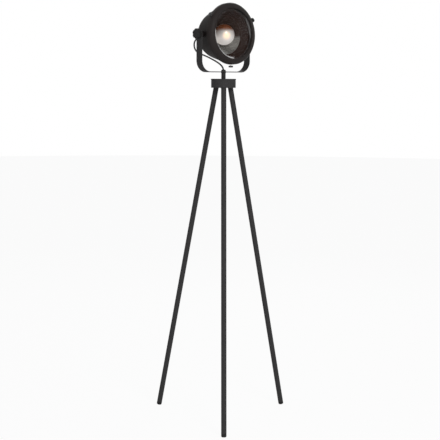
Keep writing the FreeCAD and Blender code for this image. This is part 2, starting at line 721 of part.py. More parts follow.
def make_bezel():
    """Cast ring: band over the housing rim, rounded face, lip and an inner skirt for the lens."""
    corners = [
        ("bezel_back", "rim_radius + 0.3"),
        ("bezel_back", "bezel_radius - 0.7"),
        ("bezel_back + 0.7", "bezel_radius"),
        ("bezel_shoulder", "bezel_radius"),
        ("bezel_shoulder + 7.0", "bezel_radius - 5.2", "-8.5"),
        ("bezel_front - 0.6", "bezel_opening + 5.6", "-30"),
        ("bezel_front", "bezel_opening + 3.6", "-3"),
        ("bezel_front", "bezel_opening + 0.8"),
        ("bezel_front - 0.8", "bezel_opening", "-0.8"),
        ("lens_stop", "bezel_opening"),
        ("lens_stop", "lens_pocket"),
        ("lens_stop - 6.4", "lens_pocket"),
        ("lens_stop - 6.4", "bezel_skirt"),
        ("rim_front + 1", "bezel_skirt"),
        ("rim_front + 1", "rim_radius + 0.3"),
    ]
    bezel = turned("bezel_ring", corners, AT_HEAD, about="H_Axis")
    hole = add_pocket(bezel, rings("screw_shank + 0.2"), "8", offset=on_bezel_screw("bezel_radius + 3"))
    repeat_round(bezel, [hole], "X_Axis", 3)


def make_lens_set():
    back = "lens_stop - gasket_thick - lens_thick"
    front = "lens_stop - gasket_thick"
    turned("lens_glass", lens_section(back, front), AT_HEAD, about="H_Axis")
    turned("lens_gasket", forward_ring("gasket_inner", "lens_pocket - 0.1", front, "lens_stop"), AT_HEAD,
           about="H_Axis")
    turned("lens_clip", forward_ring("clip_inner", "lens_pocket - 0.1", f"{back} - clip_thick", back),
           AT_HEAD, about="H_Axis")


def lens_section(back, front):
    """Flat rim with a shallow crown."""
    crown = "((lens_flat ^ 2 + lens_crown ^ 2) / (2 * lens_crown))"
    return [
        (f"{front} + lens_crown", "0"),
        (front, "lens_flat", crown),
        (front, "lens_radius"),
        (back, "lens_radius"),
        (back, "lens_flat"),
        (f"{back} + lens_crown", "0", f"-{crown}"),
    ]


def make_rim_nuts():
    """Square nuts welded inside the housing rim for the bezel screws."""
    nuts = new_body("rim_nuts", AT_HEAD)
    half = "rim_nut_half"
    square = [(f"-{half}", f"-{half}"), (half, f"-{half}"), (half, half), (f"-{half}", half)]
    block = add_pad(nuts, outline(square), "sqrt((rim_radius - shell_thick) ^ 2 - rim_nut_half ^ 2)"
                    " - rim_nut_start", offset=on_bezel_screw("rim_nut_start"))
    hole = add_pocket(nuts, rings("screw_shank + 0.1"), "12", offset=on_bezel_screw("rim_radius"))
    repeat_round(nuts, [block, hole], "X_Axis", 3)


def make_surround():
    """Flared sheet surround between the lens and the reflector, with a flange at each end."""
    corners = [
        ("hood_back", "hood_narrow"),
        ("hood_front - sheet_thick", "hood_wide"),
        ("hood_front", "hood_wide"),
        ("hood_front", "hood_flange"),
        ("hood_front - sheet_thick", "hood_flange"),
        ("hood_front - sheet_thick", "hood_wide + 1"),
        ("hood_back + sheet_thick", "hood_narrow + 1.7"),
        ("hood_back + sheet_thick", "dish_flange"),
        ("hood_back", "dish_flange"),
    ]
    turned("inner_surround", corners, AT_HEAD, about="H_Axis")


def make_reflector():
    """Spun paraboloid; its section follows the parabola through the rear opening and the flange."""
    mouth, rim = value("hood_back"), value("hood_narrow")
    back, small = value("dish_back"), value("dish_back_radius")
    thick = value("sheet_thick")
    slope = (mouth - back) / (rim ** 2 - small ** 2)
    apex = mouth - slope * rim ** 2
    inner, outer = [], []
    for step in range(9):
        radius = small + step / 8 * (rim - small)
        point = FreeCAD.Vector(apex + slope * radius ** 2, 0, radius)
        inner.append(point)
        outer.append(point + FreeCAD.Vector(-1, 0, 2 * slope * radius).normalize() * thick)
    bright, dull = Part.BSplineCurve(), Part.BSplineCurve()
    bright.interpolate(inner)
    dull.interpolate(outer[:-1][::-1])
    flange = [inner[-1], FreeCAD.Vector(mouth, 0, value("dish_flange")),
              FreeCAD.Vector(mouth - thick, 0, value("dish_flange")),
              FreeCAD.Vector(mouth - thick, 0, rim + thick), outer[-2]]
    edges = [bright.toShape()]
    edges += [Part.LineSegment(start, end).toShape() for start, end in zip(flange, flange[1:])]
    edges += [dull.toShape(), Part.LineSegment(outer[0], inner[0]).toShape()]
    dish = doc.addObject("Part::Feature", "reflector_dish")
    dish.Label = "reflector_dish"
    dish.Shape = Part.Face(Part.Wire(edges)).revolve(FreeCAD.Vector(), FreeCAD.Vector(1, 0, 0), 360)
    dish.Placement = PARTS["housing_shell"].Placement
    PARTS["reflector_dish"] = dish


def make_lamp_set():
    """Screw lamp holder on a hollow nipple, with its bulb."""
    holder = [
        ("holder_back", "pipe_radius + pipe_slack"),
        ("holder_back", "12"),
        ("holder_back + 8", "12"),
        ("holder_back + 11", "holder_radius"),
        ("holder_front - 8", "holder_radius"),
        ("holder_front - 8", "holder_radius + 1.5"),
        ("holder_front", "holder_radius + 1.5"),
        ("holder_front", "holder_bore"),
        ("holder_floor", "holder_bore"),
        ("holder_floor", "0"),
        ("nipple_front + 6", "0"),
        ("nipple_front + 6", "pipe_radius + pipe_slack"),
    ]
    turned("lamp_holder", holder, AT_HEAD, about="H_Axis")
    turned("holder_nipple", forward_ring("pipe_bore", "pipe_radius", "nipple_back", "nipple_front"),
           AT_HEAD, about="H_Axis")
    nut = new_body("back_nut", f"{AT_HEAD} * {move('back_nut_back', '0', '0')} * {turn(ABOUT_Y, '90')}")
    add_pad(nut, outline(hexagon("nut_flats")), "back_nut_front - back_nut_back")
    add_pocket(nut, rings("pipe_radius + pipe_slack"), "10", reverse=True)
    cap = [
        ("holder_floor + 0.3", "0"),
        ("holder_floor + 0.3", "5"),
        ("holder_floor + 4", "cap_radius - 1"),
        ("holder_floor + 6", "cap_radius"),
        ("cap_front", "cap_radius"),
        ("cap_front", "cap_radius - 0.6"),
        ("holder_floor + 6", "cap_radius - 0.6"),
        ("holder_floor + 4.3", "cap_radius - 1.8"),
        ("holder_floor + 2", "4"),
        ("holder_floor + 2", "0"),
    ]
    turned("bulb_cap", cap, AT_HEAD, about="H_Axis")


def make_bulb():
    """Globe with a filleted neck, its glass mount and a looped filament."""
    apart = "(bulb_radius + neck_fillet)"
    along = f"sqrt({apart} ^ 2 - (neck_radius + neck_fillet) ^ 2)"
    inner = "(bulb_radius - bulb_wall)"

    def meeting(radius):
        return (f"bulb_centre - {radius} * {along} / {apart}",
                f"{radius} * (neck_radius + neck_fillet) / {apart}")

    glass = [
        ("cap_front - 6", "neck_radius - bulb_wall"),
        ("cap_front - 6", "neck_radius"),
        (f"bulb_centre - {along}", "neck_radius"),
        (*meeting("bulb_radius"), "neck_fillet"),
        ("bulb_centre + bulb_radius", "0", "-bulb_radius"),
        ("bulb_centre + bulb_radius - bulb_wall", "0"),
        (*meeting(inner), inner),
        (f"bulb_centre - {along}", "neck_radius - bulb_wall", "-(neck_fillet + bulb_wall)"),
    ]
    turned("bulb_glass", glass, AT_HEAD, about="H_Axis")
    mount = [
        ("cap_front - 6", "0"),
        ("cap_front - 6", "neck_radius - bulb_wall - 0.2"),
        ("cap_front - 5", "neck_radius - bulb_wall - 0.2"),
        ("cap_front + 4", "3"),
        ("bulb_centre - 6", "2"),
        ("bulb_centre - 5", "0"),
    ]
    turned("bulb_mount", mount, AT_HEAD, about="H_Axis")
    filament = turned("bulb_filament", forward_ring("10", "11", "bulb_centre - 0.5", "bulb_centre + 0.5"),
                      AT_HEAD, about="H_Axis")
    spoke = add_pad(filament, circle_at("bulb_centre", "0", "0.4"), "10.5")
    repeat_round(filament, [spoke], "X_Axis", 3)


def make_cord_grip():
    """Outer nut and tapered sleeve where the flex enters the back of the head."""
    corners = [
        ("grip_front", "pipe_radius + pipe_slack"),
        ("grip_front - 9.5", "pipe_radius + pipe_slack"),
        ("grip_front - 9.5", "cord_radius + 0.2"),
        ("grip_back", "cord_radius + 0.2"),
        ("grip_back", "grip_tip"),
        ("grip_front - 8", "grip_radius - 2"),
        ("grip_front - 7", "grip_radius"),
        ("grip_front - 0.6", "grip_radius"),
        ("grip_front", "grip_radius - 0.6"),
    ]
    turned("cord_grip", corners, AT_HEAD, about="H_Axis")
    turned("head_flex", forward_line("cord_radius", "grip_back", "nipple_front + 6"), AT_HEAD,
           about="H_Axis")


def forward_line(radius, back, front):
    """Section of a plain rod along the beam."""
    return [(back, "0"), (front, "0"), (front, radius), (back, radius)]


def make_bezel_screw(number):
    """Hand screw: threaded shank and a disc head."""
    angle = f"screw_angle + {120 * (number - 1)}"
    place = f"{AT_HEAD} * {turn(ABOUT_X, f'{angle} - 90')} * {move('screw_station', '0', '0')}"
    corners = [
        ("0", "screw_tip"),
        ("screw_shank - 0.4", "screw_tip"),
        ("screw_shank", "screw_tip + 0.4"),
        ("screw_shank", "screw_head_start"),
        ("screw_head - 0.5", "screw_head_start"),
        ("screw_head", "screw_head_start + 0.5"),
        ("screw_head", "screw_head_end - 0.8"),
        ("screw_head - 0.8", "screw_head_end"),
        ("0", "screw_head_end"),
    ]
    turned(f"bezel_screw_{number}", corners, place)


def knob_place(side, off):
    """Outward along the pivot line, from this far outside the knob's disc."""
    out, spin = f"yoke_half + tilt_disc_depth + {off}", "-90"
    if side == "left":
        out, spin = f"-({out})", "90"
    return f"{AT_HEAD} * {move('0', out, '0')} * {turn(ABOUT_X, spin)}"


def make_tilt_stud(side):
    """Stud fixed in the pivot boss; it passes through the arm and holds the hand knob."""
    stud = new_body(f"tilt_stud_{side}", knob_place(side, "0"))
    inside = "yoke_thick + 2 * tilt_disc_depth + boss_bore_depth - 2"
    add_pad(stud, rings("stud_radius"), f"{inside} + stud_in_knob", offset=move("0", "0", f"-({inside})"))


def make_tilt_knob(side):
    """Lobed hand knob that clamps the head between the yoke's arms."""
    bore_end = "stud_in_knob - knob_gap + 0.5"
    corners = [
        ("stud_radius + 0.05", "0"),
        ("knob_radius * 0.55", "0"),
        ("knob_radius * 0.6", "1.5"),
        ("knob_radius - knob_edge", "1.5"),
        ("knob_radius", "1.5 + knob_edge"),
        ("knob_radius", "knob_depth - knob_edge"),
        ("knob_radius - knob_edge", "knob_depth", "knob_edge"),
        ("knob_radius * 0.45", "knob_depth"),
        ("knob_radius * 0.4", "knob_depth - 0.8"),
        ("0", "knob_depth - 0.8"),
        ("0", bore_end),
        ("stud_radius + 0.05", bore_end),
    ]
    knob = turned(f"tilt_knob_{side}", corners, knob_place(side, "knob_gap"))
    notch = add_pocket(knob, circle_at("knob_radius + knob_notch * 0.55", "0", "knob_notch"),
                       "knob_depth + 2", offset=move("0", "0", "-0.5"), reverse=True)
    repeat_round(knob, [notch], "Z_Axis", 6)


# ---------------------------------------------------------------- build, check and write

def build():
    make_hub()
    make_lid()
    make_lid_screws()
    for index in range(3):
        make_leg(index)
        make_foot_cap(index)
    make_leg_inserts()
    make_leg_bolts()
    make_outlet_grommet()
    make_terminal_block()
    make_stem()
    make_cord_nut()
    make_yoke()
    make_tilt_discs()
    make_free_flex()
    make_housing()
    make_bezel()
    make_lens_set()
    make_rim_nuts()
    make_surround()
    make_reflector()
    make_lamp_set()
    make_bulb()
    make_cord_grip()
    for number in (1, 2, 3):
        make_bezel_screw(number)
    for side in ("left", "right"):
        make_tilt_stud(side)
        make_tilt_knob(side)


def check():
    doc.recompute()
    faults = []
    for item in doc.Objects:
        if any(word in item.State for word in ("Invalid", "Error", "Touched")):
            faults.append(f"{item.Label} is {item.State}")
    for label, item in PARTS.items():
        if item.Shape.isNull() or not item.Shape.isValid():
            faults.append(f"{label} has no valid shape")
    for cut in CUTS:
        if cut.Shape.Volume > cut.BaseFeature.Shape.Volume - 0.1:
            faults.append(f"{cut.Label} takes nothing away")
    if faults:
        raise RuntimeError("; ".join(faults))


def write():
    os.makedirs("parts", exist_ok=True)
    for label, item in PARTS.items():
        item.Shape.exportStep(f"parts/{label}.step")
    print(len(PARTS), "parts written")


build()
check()
write()
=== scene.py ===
import math

import bmesh
import bpy
from bpy.props import FloatProperty, FloatVectorProperty, IntProperty, PointerProperty
from mathutils import Matrix, Vector


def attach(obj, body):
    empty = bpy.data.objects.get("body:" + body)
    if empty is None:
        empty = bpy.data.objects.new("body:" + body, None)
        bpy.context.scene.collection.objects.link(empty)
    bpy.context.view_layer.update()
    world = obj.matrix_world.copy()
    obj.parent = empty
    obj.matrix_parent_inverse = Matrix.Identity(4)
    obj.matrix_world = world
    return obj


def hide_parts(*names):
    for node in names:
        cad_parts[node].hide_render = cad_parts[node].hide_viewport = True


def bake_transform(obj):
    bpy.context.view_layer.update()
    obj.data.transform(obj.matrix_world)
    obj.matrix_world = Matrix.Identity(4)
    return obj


bl_info = {
    "name": "Tripod Spotlight",
    "version": (1, 0, 0),
    "blender": (4, 5, 0),
    "location": "3D View > Sidebar > Lamp",
    "description": "Dresses a tripod spotlight floor lamp: legs, hub, yoke, head, lens, bulb and flex",
    "category": "Add Mesh",
}

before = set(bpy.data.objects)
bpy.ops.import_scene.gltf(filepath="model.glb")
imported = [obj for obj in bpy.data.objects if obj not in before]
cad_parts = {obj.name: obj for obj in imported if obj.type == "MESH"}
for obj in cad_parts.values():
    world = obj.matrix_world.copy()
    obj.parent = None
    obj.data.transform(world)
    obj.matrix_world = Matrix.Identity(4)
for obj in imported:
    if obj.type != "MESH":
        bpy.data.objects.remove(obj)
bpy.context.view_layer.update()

MM = 0.001
TAU = 2 * math.pi


# ---------------------------------------------------------------- sizes and colours

class TripodSizes(bpy.types.PropertyGroup):
    """Millimetres and degrees of the stand."""
    foot_radius: FloatProperty(name="Foot radius", description="Feet from the lamp's axis", default=274.2)
    splay: FloatProperty(name="Splay", description="Legs from upright, in degrees", default=11.27)
    tube_radius: FloatProperty(name="Tube radius", description="Leg tube", default=9.5)
    cap_depth: FloatProperty(name="Cap depth", description="Foot cap outside the tube", default=11.0)
    hub_bottom: FloatProperty(name="Hub underside", description="Above the floor", default=1224.4)


class HeadSizes(bpy.types.PropertyGroup):
    """Millimetres and degrees of the yoke and what it carries."""
    pivot_height: FloatProperty(name="Pivot height", description="Above the floor", default=1415.2)
    pan: FloatProperty(name="Pan", description="Degrees from the front leg", default=39.5)
    nose_up: FloatProperty(name="Nose up", description="Degrees above level", default=3.3)
    dome_radius: FloatProperty(name="Dome radius", description="Back of the housing", default=89.0)
    dome_centre: FloatProperty(name="Dome centre", description="Forward of the pivots", default=-8.2)
    flare: FloatProperty(name="Flare", description="Cone's half angle in degrees", default=18.2)
    rim_radius: FloatProperty(name="Rim radius", description="Housing inside the ring", default=106.6)
    ring_radius: FloatProperty(name="Ring radius", description="Front ring", default=109.7)
    yoke_half: FloatProperty(name="Yoke half width", description="Middle to the outside", default=116.5)
    yoke_drop: FloatProperty(name="Yoke drop", description="Pivots to the bar's underside", default=135.2)
    yoke_corner: FloatProperty(name="Yoke corner", description="Outside bend radius", default=42.0)
    bar_width: FloatProperty(name="Bar width", description="Yoke's flat bar", default=30.0)
    bar_thick: FloatProperty(name="Bar thickness", description="Yoke's flat bar", default=3.0)
    screw_station: FloatProperty(name="Hand screws", description="Forward of the pivots", default=41.5)
    screw_angle: FloatProperty(name="First hand screw", description="Degrees above pivots", default=26.2)
    steps: IntProperty(name="Steps", description="Facets round a turned piece", default=128, min=24)


class Finishes(bpy.types.PropertyGroup):
    """Colours of the paints and mouldings, and the strength of the bulb."""
    coat: FloatVectorProperty(name="Powder coat", description="Legs, hub and yoke", subtype="COLOR",
                              default=(0.047, 0.0455, 0.0458))
    enamel: FloatVectorProperty(name="Enamel", description="Lamp head", subtype="COLOR",
                                default=(0.0155, 0.0128, 0.0122))
    moulding: FloatVectorProperty(name="Moulding", description="Knobs and feet", subtype="COLOR",
                                  default=(0.017, 0.0165, 0.0165))
    surround: FloatVectorProperty(name="Surround", description="Paint behind the lens", subtype="COLOR",
                                  default=(0.022, 0.011, 0.0085))
    sheath: FloatVectorProperty(name="Sheath", description="Flex", subtype="COLOR",
                                default=(0.014, 0.014, 0.0145))
    # The glow also sets the strength of the painted light over the bulb's lower half.
    glow: FloatProperty(name="Glow", description="Strength of the bulb's warm spot", default=0.78, min=0)


def tripod():
    return bpy.context.scene.lamp_tripod


def head():
    return bpy.context.scene.lamp_head


def finishes():
    return bpy.context.scene.lamp_finishes


# ---------------------------------------------------------------- places

def slide(x, y, z):
    return Matrix.Translation(Vector((x, y, z)) * MM)


def spin(degrees, axis):
    return Matrix.Rotation(math.radians(degrees), 4, axis)


def yoke_place():
    return slide(0, 0, head().pivot_height) @ spin(head().pan - 90, "Z")


def head_place():
    return yoke_place() @ spin(-head().nose_up, "Y")


def beam_place():
    """Z runs forward along the beam."""
    return head_place() @ spin(90, "Y")


def leg_place(index):
    """Z runs up the leg from the middle of the foot's end."""
    return spin(120 * index, "Z") @ slide(0, -tripod().foot_radius, 0) @ spin(-tripod().splay, "X")


# ---------------------------------------------------------------- shader words

class Wire:
    """A shader socket that Python's operators turn into Math nodes."""

    def __init__(self, paint, socket):
        self.paint = paint
        self.socket = socket

    def _math(self, operation, *values):
        return self.paint.node("ShaderNodeMath", {"operation": operation}, *values)

    def __add__(self, other):
        return self._math("ADD", self, other)

    def __sub__(self, other):
        return self._math("SUBTRACT", self, other)

    def __rsub__(self, other):
        return self._math("SUBTRACT", other, self)

    def __mul__(self, other):
        return self._math("MULTIPLY", self, other)

    __radd__ = __add__
    __rmul__ = __mul__


class Paint:
    """One material, built on its Principled shader."""

    made = {}

    def __init__(self, name, colour, **constants):
        self.material = bpy.data.materials.new(name)
        self.material.use_nodes = True
        self.tree = self.material.node_tree
        self.shader = self.tree.nodes["Principled BSDF"]
        self.set("Base Color", colour)
        for socket, amount in constants.items():
            self.set(socket.replace("_", " "), amount)

    def node(self, kind, settings, *values, **named):
        """A node, its settings first, then its sockets' values or links; returns its first output."""
        node = self.tree.nodes.new(kind)
        for setting, choice in settings.items():
            if setting != "output":
                setattr(node, setting, choice)
        sockets = dict(enumerate(values))
        sockets.update({name.replace("_", " "): value for name, value in named.items()})
        for key, value in sockets.items():
            self._feed(node.inputs[key], value)
        return Wire(self, node.outputs[settings.get("output", 0)])

    def _feed(self, socket, value):
        if isinstance(value, Wire):
            self.tree.links.new(value.socket, socket)
        elif isinstance(value, (tuple, list)) and socket.type == "RGBA":
            socket.default_value = (*value[:3], 1)
        else:
            socket.default_value = value

    def set(self, socket, value):
        self._feed(self.shader.inputs[socket], tuple(value) if hasattr(value, "__len__") else value)

    def spot(self):
        """The point on the piece, in its own frame, in metres."""
        return self.node("ShaderNodeTexCoord", {"output": "Object"})

    def axes(self):
        """The three numbers of that point."""
        split = self.node("ShaderNodeSeparateXYZ", {}, self.spot()).socket.node
        return [Wire(self, output) for output in split.outputs]

    def reach(self):
        """Distance from the piece's own Z axis."""
        flat = self.node("ShaderNodeVectorMath", {"operation": "MULTIPLY"}, self.spot(), (1, 1, 0))
        return self.node("ShaderNodeVectorMath", {"operation": "LENGTH", "output": "Value"}, flat)

    def noise(self, size, detail=2.0, rough=0.5):
        """Cloudy values from 0 to 1 with features of this many metres."""
        return self.node("ShaderNodeTexNoise", {}, Vector=self.spot(), Scale=1 / size, Detail=detail,
                         Roughness=rough)

    def rise(self, amount, start, end):
        """0 before start and 1 after end, with a smooth step between; start may be the larger."""
        ends = (start, end, 0.0, 1.0) if start < end else (end, start, 1.0, 0.0)
        return self.node("ShaderNodeMapRange", {"interpolation_type": "SMOOTHSTEP"}, amount, *ends)

    def mix(self, share, first, second):
        """Colours, first at 0 and second at 1."""
        mixer = self.tree.nodes.new("ShaderNodeMix")
        mixer.data_type = "RGBA"
        for name, value in (("Factor", share), ("A", first), ("B", second)):
            socket = next(s for s in mixer.inputs if s.name == name and s.enabled)
            self._feed(socket, value)
        return Wire(self, next(s for s in mixer.outputs if s.enabled))

    def bump(self, height, depth, strength=1.0):
        """Height from 0 to 1, raised by this many metres."""
        self.set("Normal", self.node("ShaderNodeBump", {}, Strength=strength, Distance=depth,
                                     Height=height))


def finish(name):
    """The material of that name, made the first time that it is asked for."""
    if name not in Paint.made:
        Paint.made[name] = FINISHES[name]()
    return Paint.made[name]


def shade(colour, factor):
    """The colour made darker or paler."""
    return tuple(part * factor for part in colour)


def powder_coat():
    """Satin black with the fine orange peel of baked powder."""
    return baked_paint("powder_coat", tuple(finishes().coat), 0.5)


def head_enamel():
    """The head's slightly browner black."""
    return baked_paint("head_enamel", tuple(finishes().enamel), 0.5)


def ring_enamel_painted_paler():
    """The same enamel on the cast ring, painted 1.6 times paler as painted light."""
    return baked_paint("ring_enamel_painted_paler", shade(finishes().enamel, 1.6), 0.42, 0.08)


def baked_paint(name, colour, roughness, gloss=0.04):
    """Clouded slightly in colour, with a fine peel on its surface."""
    paint = Paint(name, colour, Specular_IOR_Level=gloss)
    cloud = paint.noise(0.045, 3)
    peel = paint.noise(0.0011, 2)
    paint.set("Base Color", paint.mix(cloud, shade(colour, 0.88), shade(colour, 1.12)))
    paint.set("Roughness", roughness + cloud * 0.08 + peel * 0.06)
    paint.bump(peel, 0.00006)
    return paint.material


def moulded_black():
    """Spark-eroded texture of moulded nylon."""
    colour = tuple(finishes().moulding)
    paint = Paint("moulded_black", colour, Specular_IOR_Level=0.12)
    grain = paint.noise(0.0007, 3, 0.65)
    rub = paint.noise(0.012, 3)
    paint.set("Base Color", paint.mix(rub, shade(colour, 0.85), shade(colour, 1.3)))
    paint.set("Roughness", 0.48 + rub * 0.14)
    paint.bump(grain, 0.00008)
    return paint.material


def black_rubber():
    """Rubber with a grey bloom."""
    paint = Paint("black_rubber", (0.016, 0.016, 0.016))
    bloom = paint.noise(0.006, 4)
    paint.set("Base Color", paint.mix(bloom, (0.013, 0.013, 0.013), (0.03, 0.029, 0.028)))
    paint.set("Roughness", 0.7 + bloom * 0.15)
    paint.bump(paint.noise(0.0005, 2), 0.00005)
    return paint.material


def flex_sheath():
    """Smooth extruded sheath with the faint waviness of the cores under it."""
    colour = tuple(finishes().sheath)
    paint = Paint("flex_sheath", colour)
    wave = paint.noise(0.009, 1)
    paint.set("Base Color", paint.mix(wave, shade(colour, 0.9), shade(colour, 1.25)))
    paint.set("Roughness", 0.38 + paint.noise(0.003, 2) * 0.12)
    paint.bump(wave, 0.0002)
    return paint.material


def plated_steel():
    """Zinc plate: grey metal with a faint bloom."""
    paint = Paint("plated_steel", (0.55, 0.55, 0.53), Metallic=1.0)
    bloom = paint.noise(0.004, 4, 0.6)
    paint.set("Base Color", paint.mix(bloom, (0.46, 0.46, 0.45), (0.64, 0.63, 0.6)))
    paint.set("Roughness", 0.26 + bloom * 0.2)
    return paint.material


def blacked_steel():
    """Oiled black oxide, worn a little on the high places."""
    paint = Paint("blacked_steel", (0.03, 0.03, 0.031), Metallic=0.55)
    wear = paint.noise(0.002, 4, 0.65)
    paint.set("Base Color", paint.mix(wear, (0.02, 0.02, 0.021), (0.06, 0.058, 0.056)))
    paint.set("Roughness", 0.32 + wear * 0.16)
    return paint.material


def hand_screw():
    """Plated shank under a blackened head."""
    paint = Paint("hand_screw", (0.03, 0.03, 0.031), Metallic=0.55)
    wear = paint.noise(0.002, 4, 0.65)
    head_side = paint.rise(paint.axes()[2], 0.1144, 0.1147)
    black = paint.mix(wear, (0.014, 0.014, 0.015), (0.035, 0.034, 0.033))
    paint.set("Base Color", paint.mix(head_side, (0.6, 0.59, 0.57), black))
    paint.set("Metallic", 1.0 - head_side * 0.6)
    paint.set("Roughness", 0.3 + wear * 0.16)
    return paint.material


def fibre_disc():
    """Pressed fibre of the friction discs."""
    paint = Paint("fibre_disc", (0.03, 0.026, 0.023))
    strands = paint.noise(0.0012, 5, 0.7)
    paint.set("Base Color", paint.mix(strands, (0.018, 0.016, 0.015), (0.05, 0.043, 0.037)))
    paint.set("Roughness", 0.75 + strands * 0.15)
    return paint.material


def reflector_metal():
    """Peened aluminium: pale metal over its lower part as painted light, dark brown above as painted
    shade, and darker towards the right pivot as painted shade.
    """
    paint = Paint("reflector_metal", (0.8, 0.8, 0.79))
    down, along_pivots = paint.axes()[:2]
    rings = paint.node("ShaderNodeTexNoise", {"noise_dimensions": "1D"}, W=paint.reach(), Scale=1400.0,
                       Detail=3.0, Roughness=0.6)
    cells = paint.node("ShaderNodeTexVoronoi", {}, Vector=paint.spot(), Scale=130.0)
    # Painted light and shade: the dish is pale, more metallic metal low down and dark brown high up.
    painted_light_below = paint.rise(down + paint.noise(0.02, 3) * 0.012, 0.004, 0.026)
    # Painted shade: the metal is darker towards the right pivot.
    painted_shade_right = paint.rise(along_pivots, 0.004, 0.026)
    metal = paint.mix(painted_shade_right, (0.8, 0.8, 0.78), (0.42, 0.42, 0.4))
    paint.set("Base Color", paint.mix(painted_light_below, (0.035, 0.018, 0.013), metal))
    paint.set("Metallic", 0.2 + painted_light_below * 0.55)
    paint.set("Roughness", 0.38 - painted_light_below * 0.16 + rings * 0.08)
    paint.bump(cells * 0.8 + rings * 0.2, 0.0007, 0.7)
    return paint.material


def surround_paint():
    """Dark brown satin paint on spun sheet."""
    colour = tuple(finishes().surround)
    paint = Paint("surround_paint", colour, Specular_IOR_Level=0.15)
    cloud = paint.noise(0.03, 3)
    paint.set("Base Color", paint.mix(cloud, shade(colour, 0.85), shade(colour, 1.2)))
    paint.set("Roughness", 0.42 + cloud * 0.1)
    paint.bump(paint.noise(0.0012, 2), 0.00004)
    return paint.material


def bakelite():
    """Dark moulded holder with a faint swirl."""
    paint = Paint("bakelite", (0.02, 0.018, 0.017), Coat_Weight=0.3)
    swirl = paint.noise(0.01, 4)
    paint.set("Base Color", paint.mix(swirl, (0.014, 0.013, 0.012), (0.035, 0.03, 0.027)))
    paint.set("Roughness", 0.28 + swirl * 0.1)
    return paint.material


def nickel_cap():
    """Bright cap with a little tarnish."""
    paint = Paint("nickel_cap", (0.66, 0.64, 0.6), Metallic=1.0)
    tarnish = paint.noise(0.005, 4)
    paint.set("Base Color", paint.mix(tarnish, (0.58, 0.56, 0.52), (0.74, 0.72, 0.68)))
    paint.set("Roughness", 0.2 + tarnish * 0.15)
    return paint.material


def natural_nylon():
    """Uncoloured nylon, slightly milky."""
    paint = Paint("natural_nylon", (0.72, 0.71, 0.66), Subsurface_Weight=0.1)
    cloud = paint.noise(0.006, 3)
    paint.set("Base Color", paint.mix(cloud, (0.66, 0.65, 0.6), (0.76, 0.75, 0.7)))
    paint.set("Roughness", 0.45 + cloud * 0.1)
    return paint.material


def clear_glass():
    """Clear pressed lens: see-through, with a finely ground shoulder round its rim, made much paler at
    the lower left and a little paler at the right as painted highlights.
    """
    paint = Paint("clear_glass", (0.9, 0.9, 0.9), Metallic=1.0)
    smear = paint.noise(0.05, 3)
    down, along_pivots = paint.axes()[:2]
    ground = paint.rise(paint.reach() - down * 0.035, 0.0795, 0.083)
    # Painted highlight: the shoulder is made whiter at the lower left.
    painted_highlight_lower_left = paint.rise(down * 0.65 - along_pivots * 0.76, 0.049, 0.0605)
    # Painted highlight: a faint pale band on the shoulder towards the right pivot.
    right = paint.rise(along_pivots - down * 0.3, 0.08, 0.088)
    paint.set("Metallic", 1.0 - ground)
    paint.set("Roughness", 0.03 + smear * 0.03 + ground * 0.3)
    # The 0.012 is the shoulder's own frost; the rest is painted highlight.
    frost_and_painted_highlights = ground * (painted_highlight_lower_left * 0.75 + right * 0.1 + 0.012)
    paint.set("Alpha", paint.node("ShaderNodeFresnel", {}, IOR=1.1) + frost_and_painted_highlights)
    return paint.material


def bulb_glass():
    """Pearl glass, painted dark amber over its top as painted shade, glowing pale over its lower half as
    painted light, with the warm spot of the lit filament.
    """
    paint = Paint("bulb_glass", (0.8, 0.76, 0.7), Coat_Weight=0.3, Coat_Roughness=0.06,
                  Emission_Strength=finishes().glow)
    down, along_pivots = paint.axes()[:2]
    # Painted shade: the top of the globe is dark amber.
    painted_shade_over_top = paint.rise(down + paint.noise(0.015, 3) * 0.008, -0.004, -0.017)
    paint.set("Base Color", paint.mix(painted_shade_over_top, (0.5, 0.48, 0.46), (0.13, 0.04, 0.014)))
    paint.set("Roughness", 0.26 + paint.noise(0.012, 3) * 0.1)
    away = paint.node("ShaderNodeVectorMath", {"operation": "DISTANCE", "output": "Value"}, paint.spot(),
                      (0.006, -0.0165, 0.035))
    spot = paint.rise(away, 0.021, 0.003)
    # Painted light: the glass glows pale over its lower half and hardly at all over its top.
    painted_glow_below = paint.rise(down, -0.012, 0.02)
    painted_glow_and_shade = paint.mix(painted_glow_below, (0.02, 0.005, 0.001), (0.42, 0.39, 0.37))
    paint.set("Emission Color", paint.mix(spot, painted_glow_and_shade, (1.0, 0.7, 0.38)))
    return paint.material


def filament_wire():
    """The glowing coil."""
    paint = Paint("filament_wire", (1.0, 0.7, 0.35), Roughness=0.4,
                  Emission_Strength=finishes().glow)
    coil = paint.noise(0.001, 2)
    paint.set("Emission Color", paint.mix(coil, (1.0, 0.55, 0.2), (1.0, 0.75, 0.42)))
    return paint.material


def studio_floor():
    """Pale paper, nearly plain white to the camera, that keeps the lamp's soft shadow."""
    paint = Paint("studio_floor", (0.9, 0.9, 0.9), Specular_IOR_Level=0.1)
    paint.set("Roughness", 0.85 + paint.noise(0.4, 2) * 0.05)
    tree = paint.tree
    white = tree.nodes.new("ShaderNodeEmission")
    blend = tree.nodes.new("ShaderNodeMixShader")
    paint._feed(blend.inputs["Fac"], seen_directly(paint) * 0.94)
    tree.links.new(paint.shader.outputs["BSDF"], blend.inputs[1])
    tree.links.new(white.outputs["Emission"], blend.inputs[2])
    tree.links.new(blend.outputs["Shader"], tree.nodes["Material Output"].inputs["Surface"])
    return paint.material


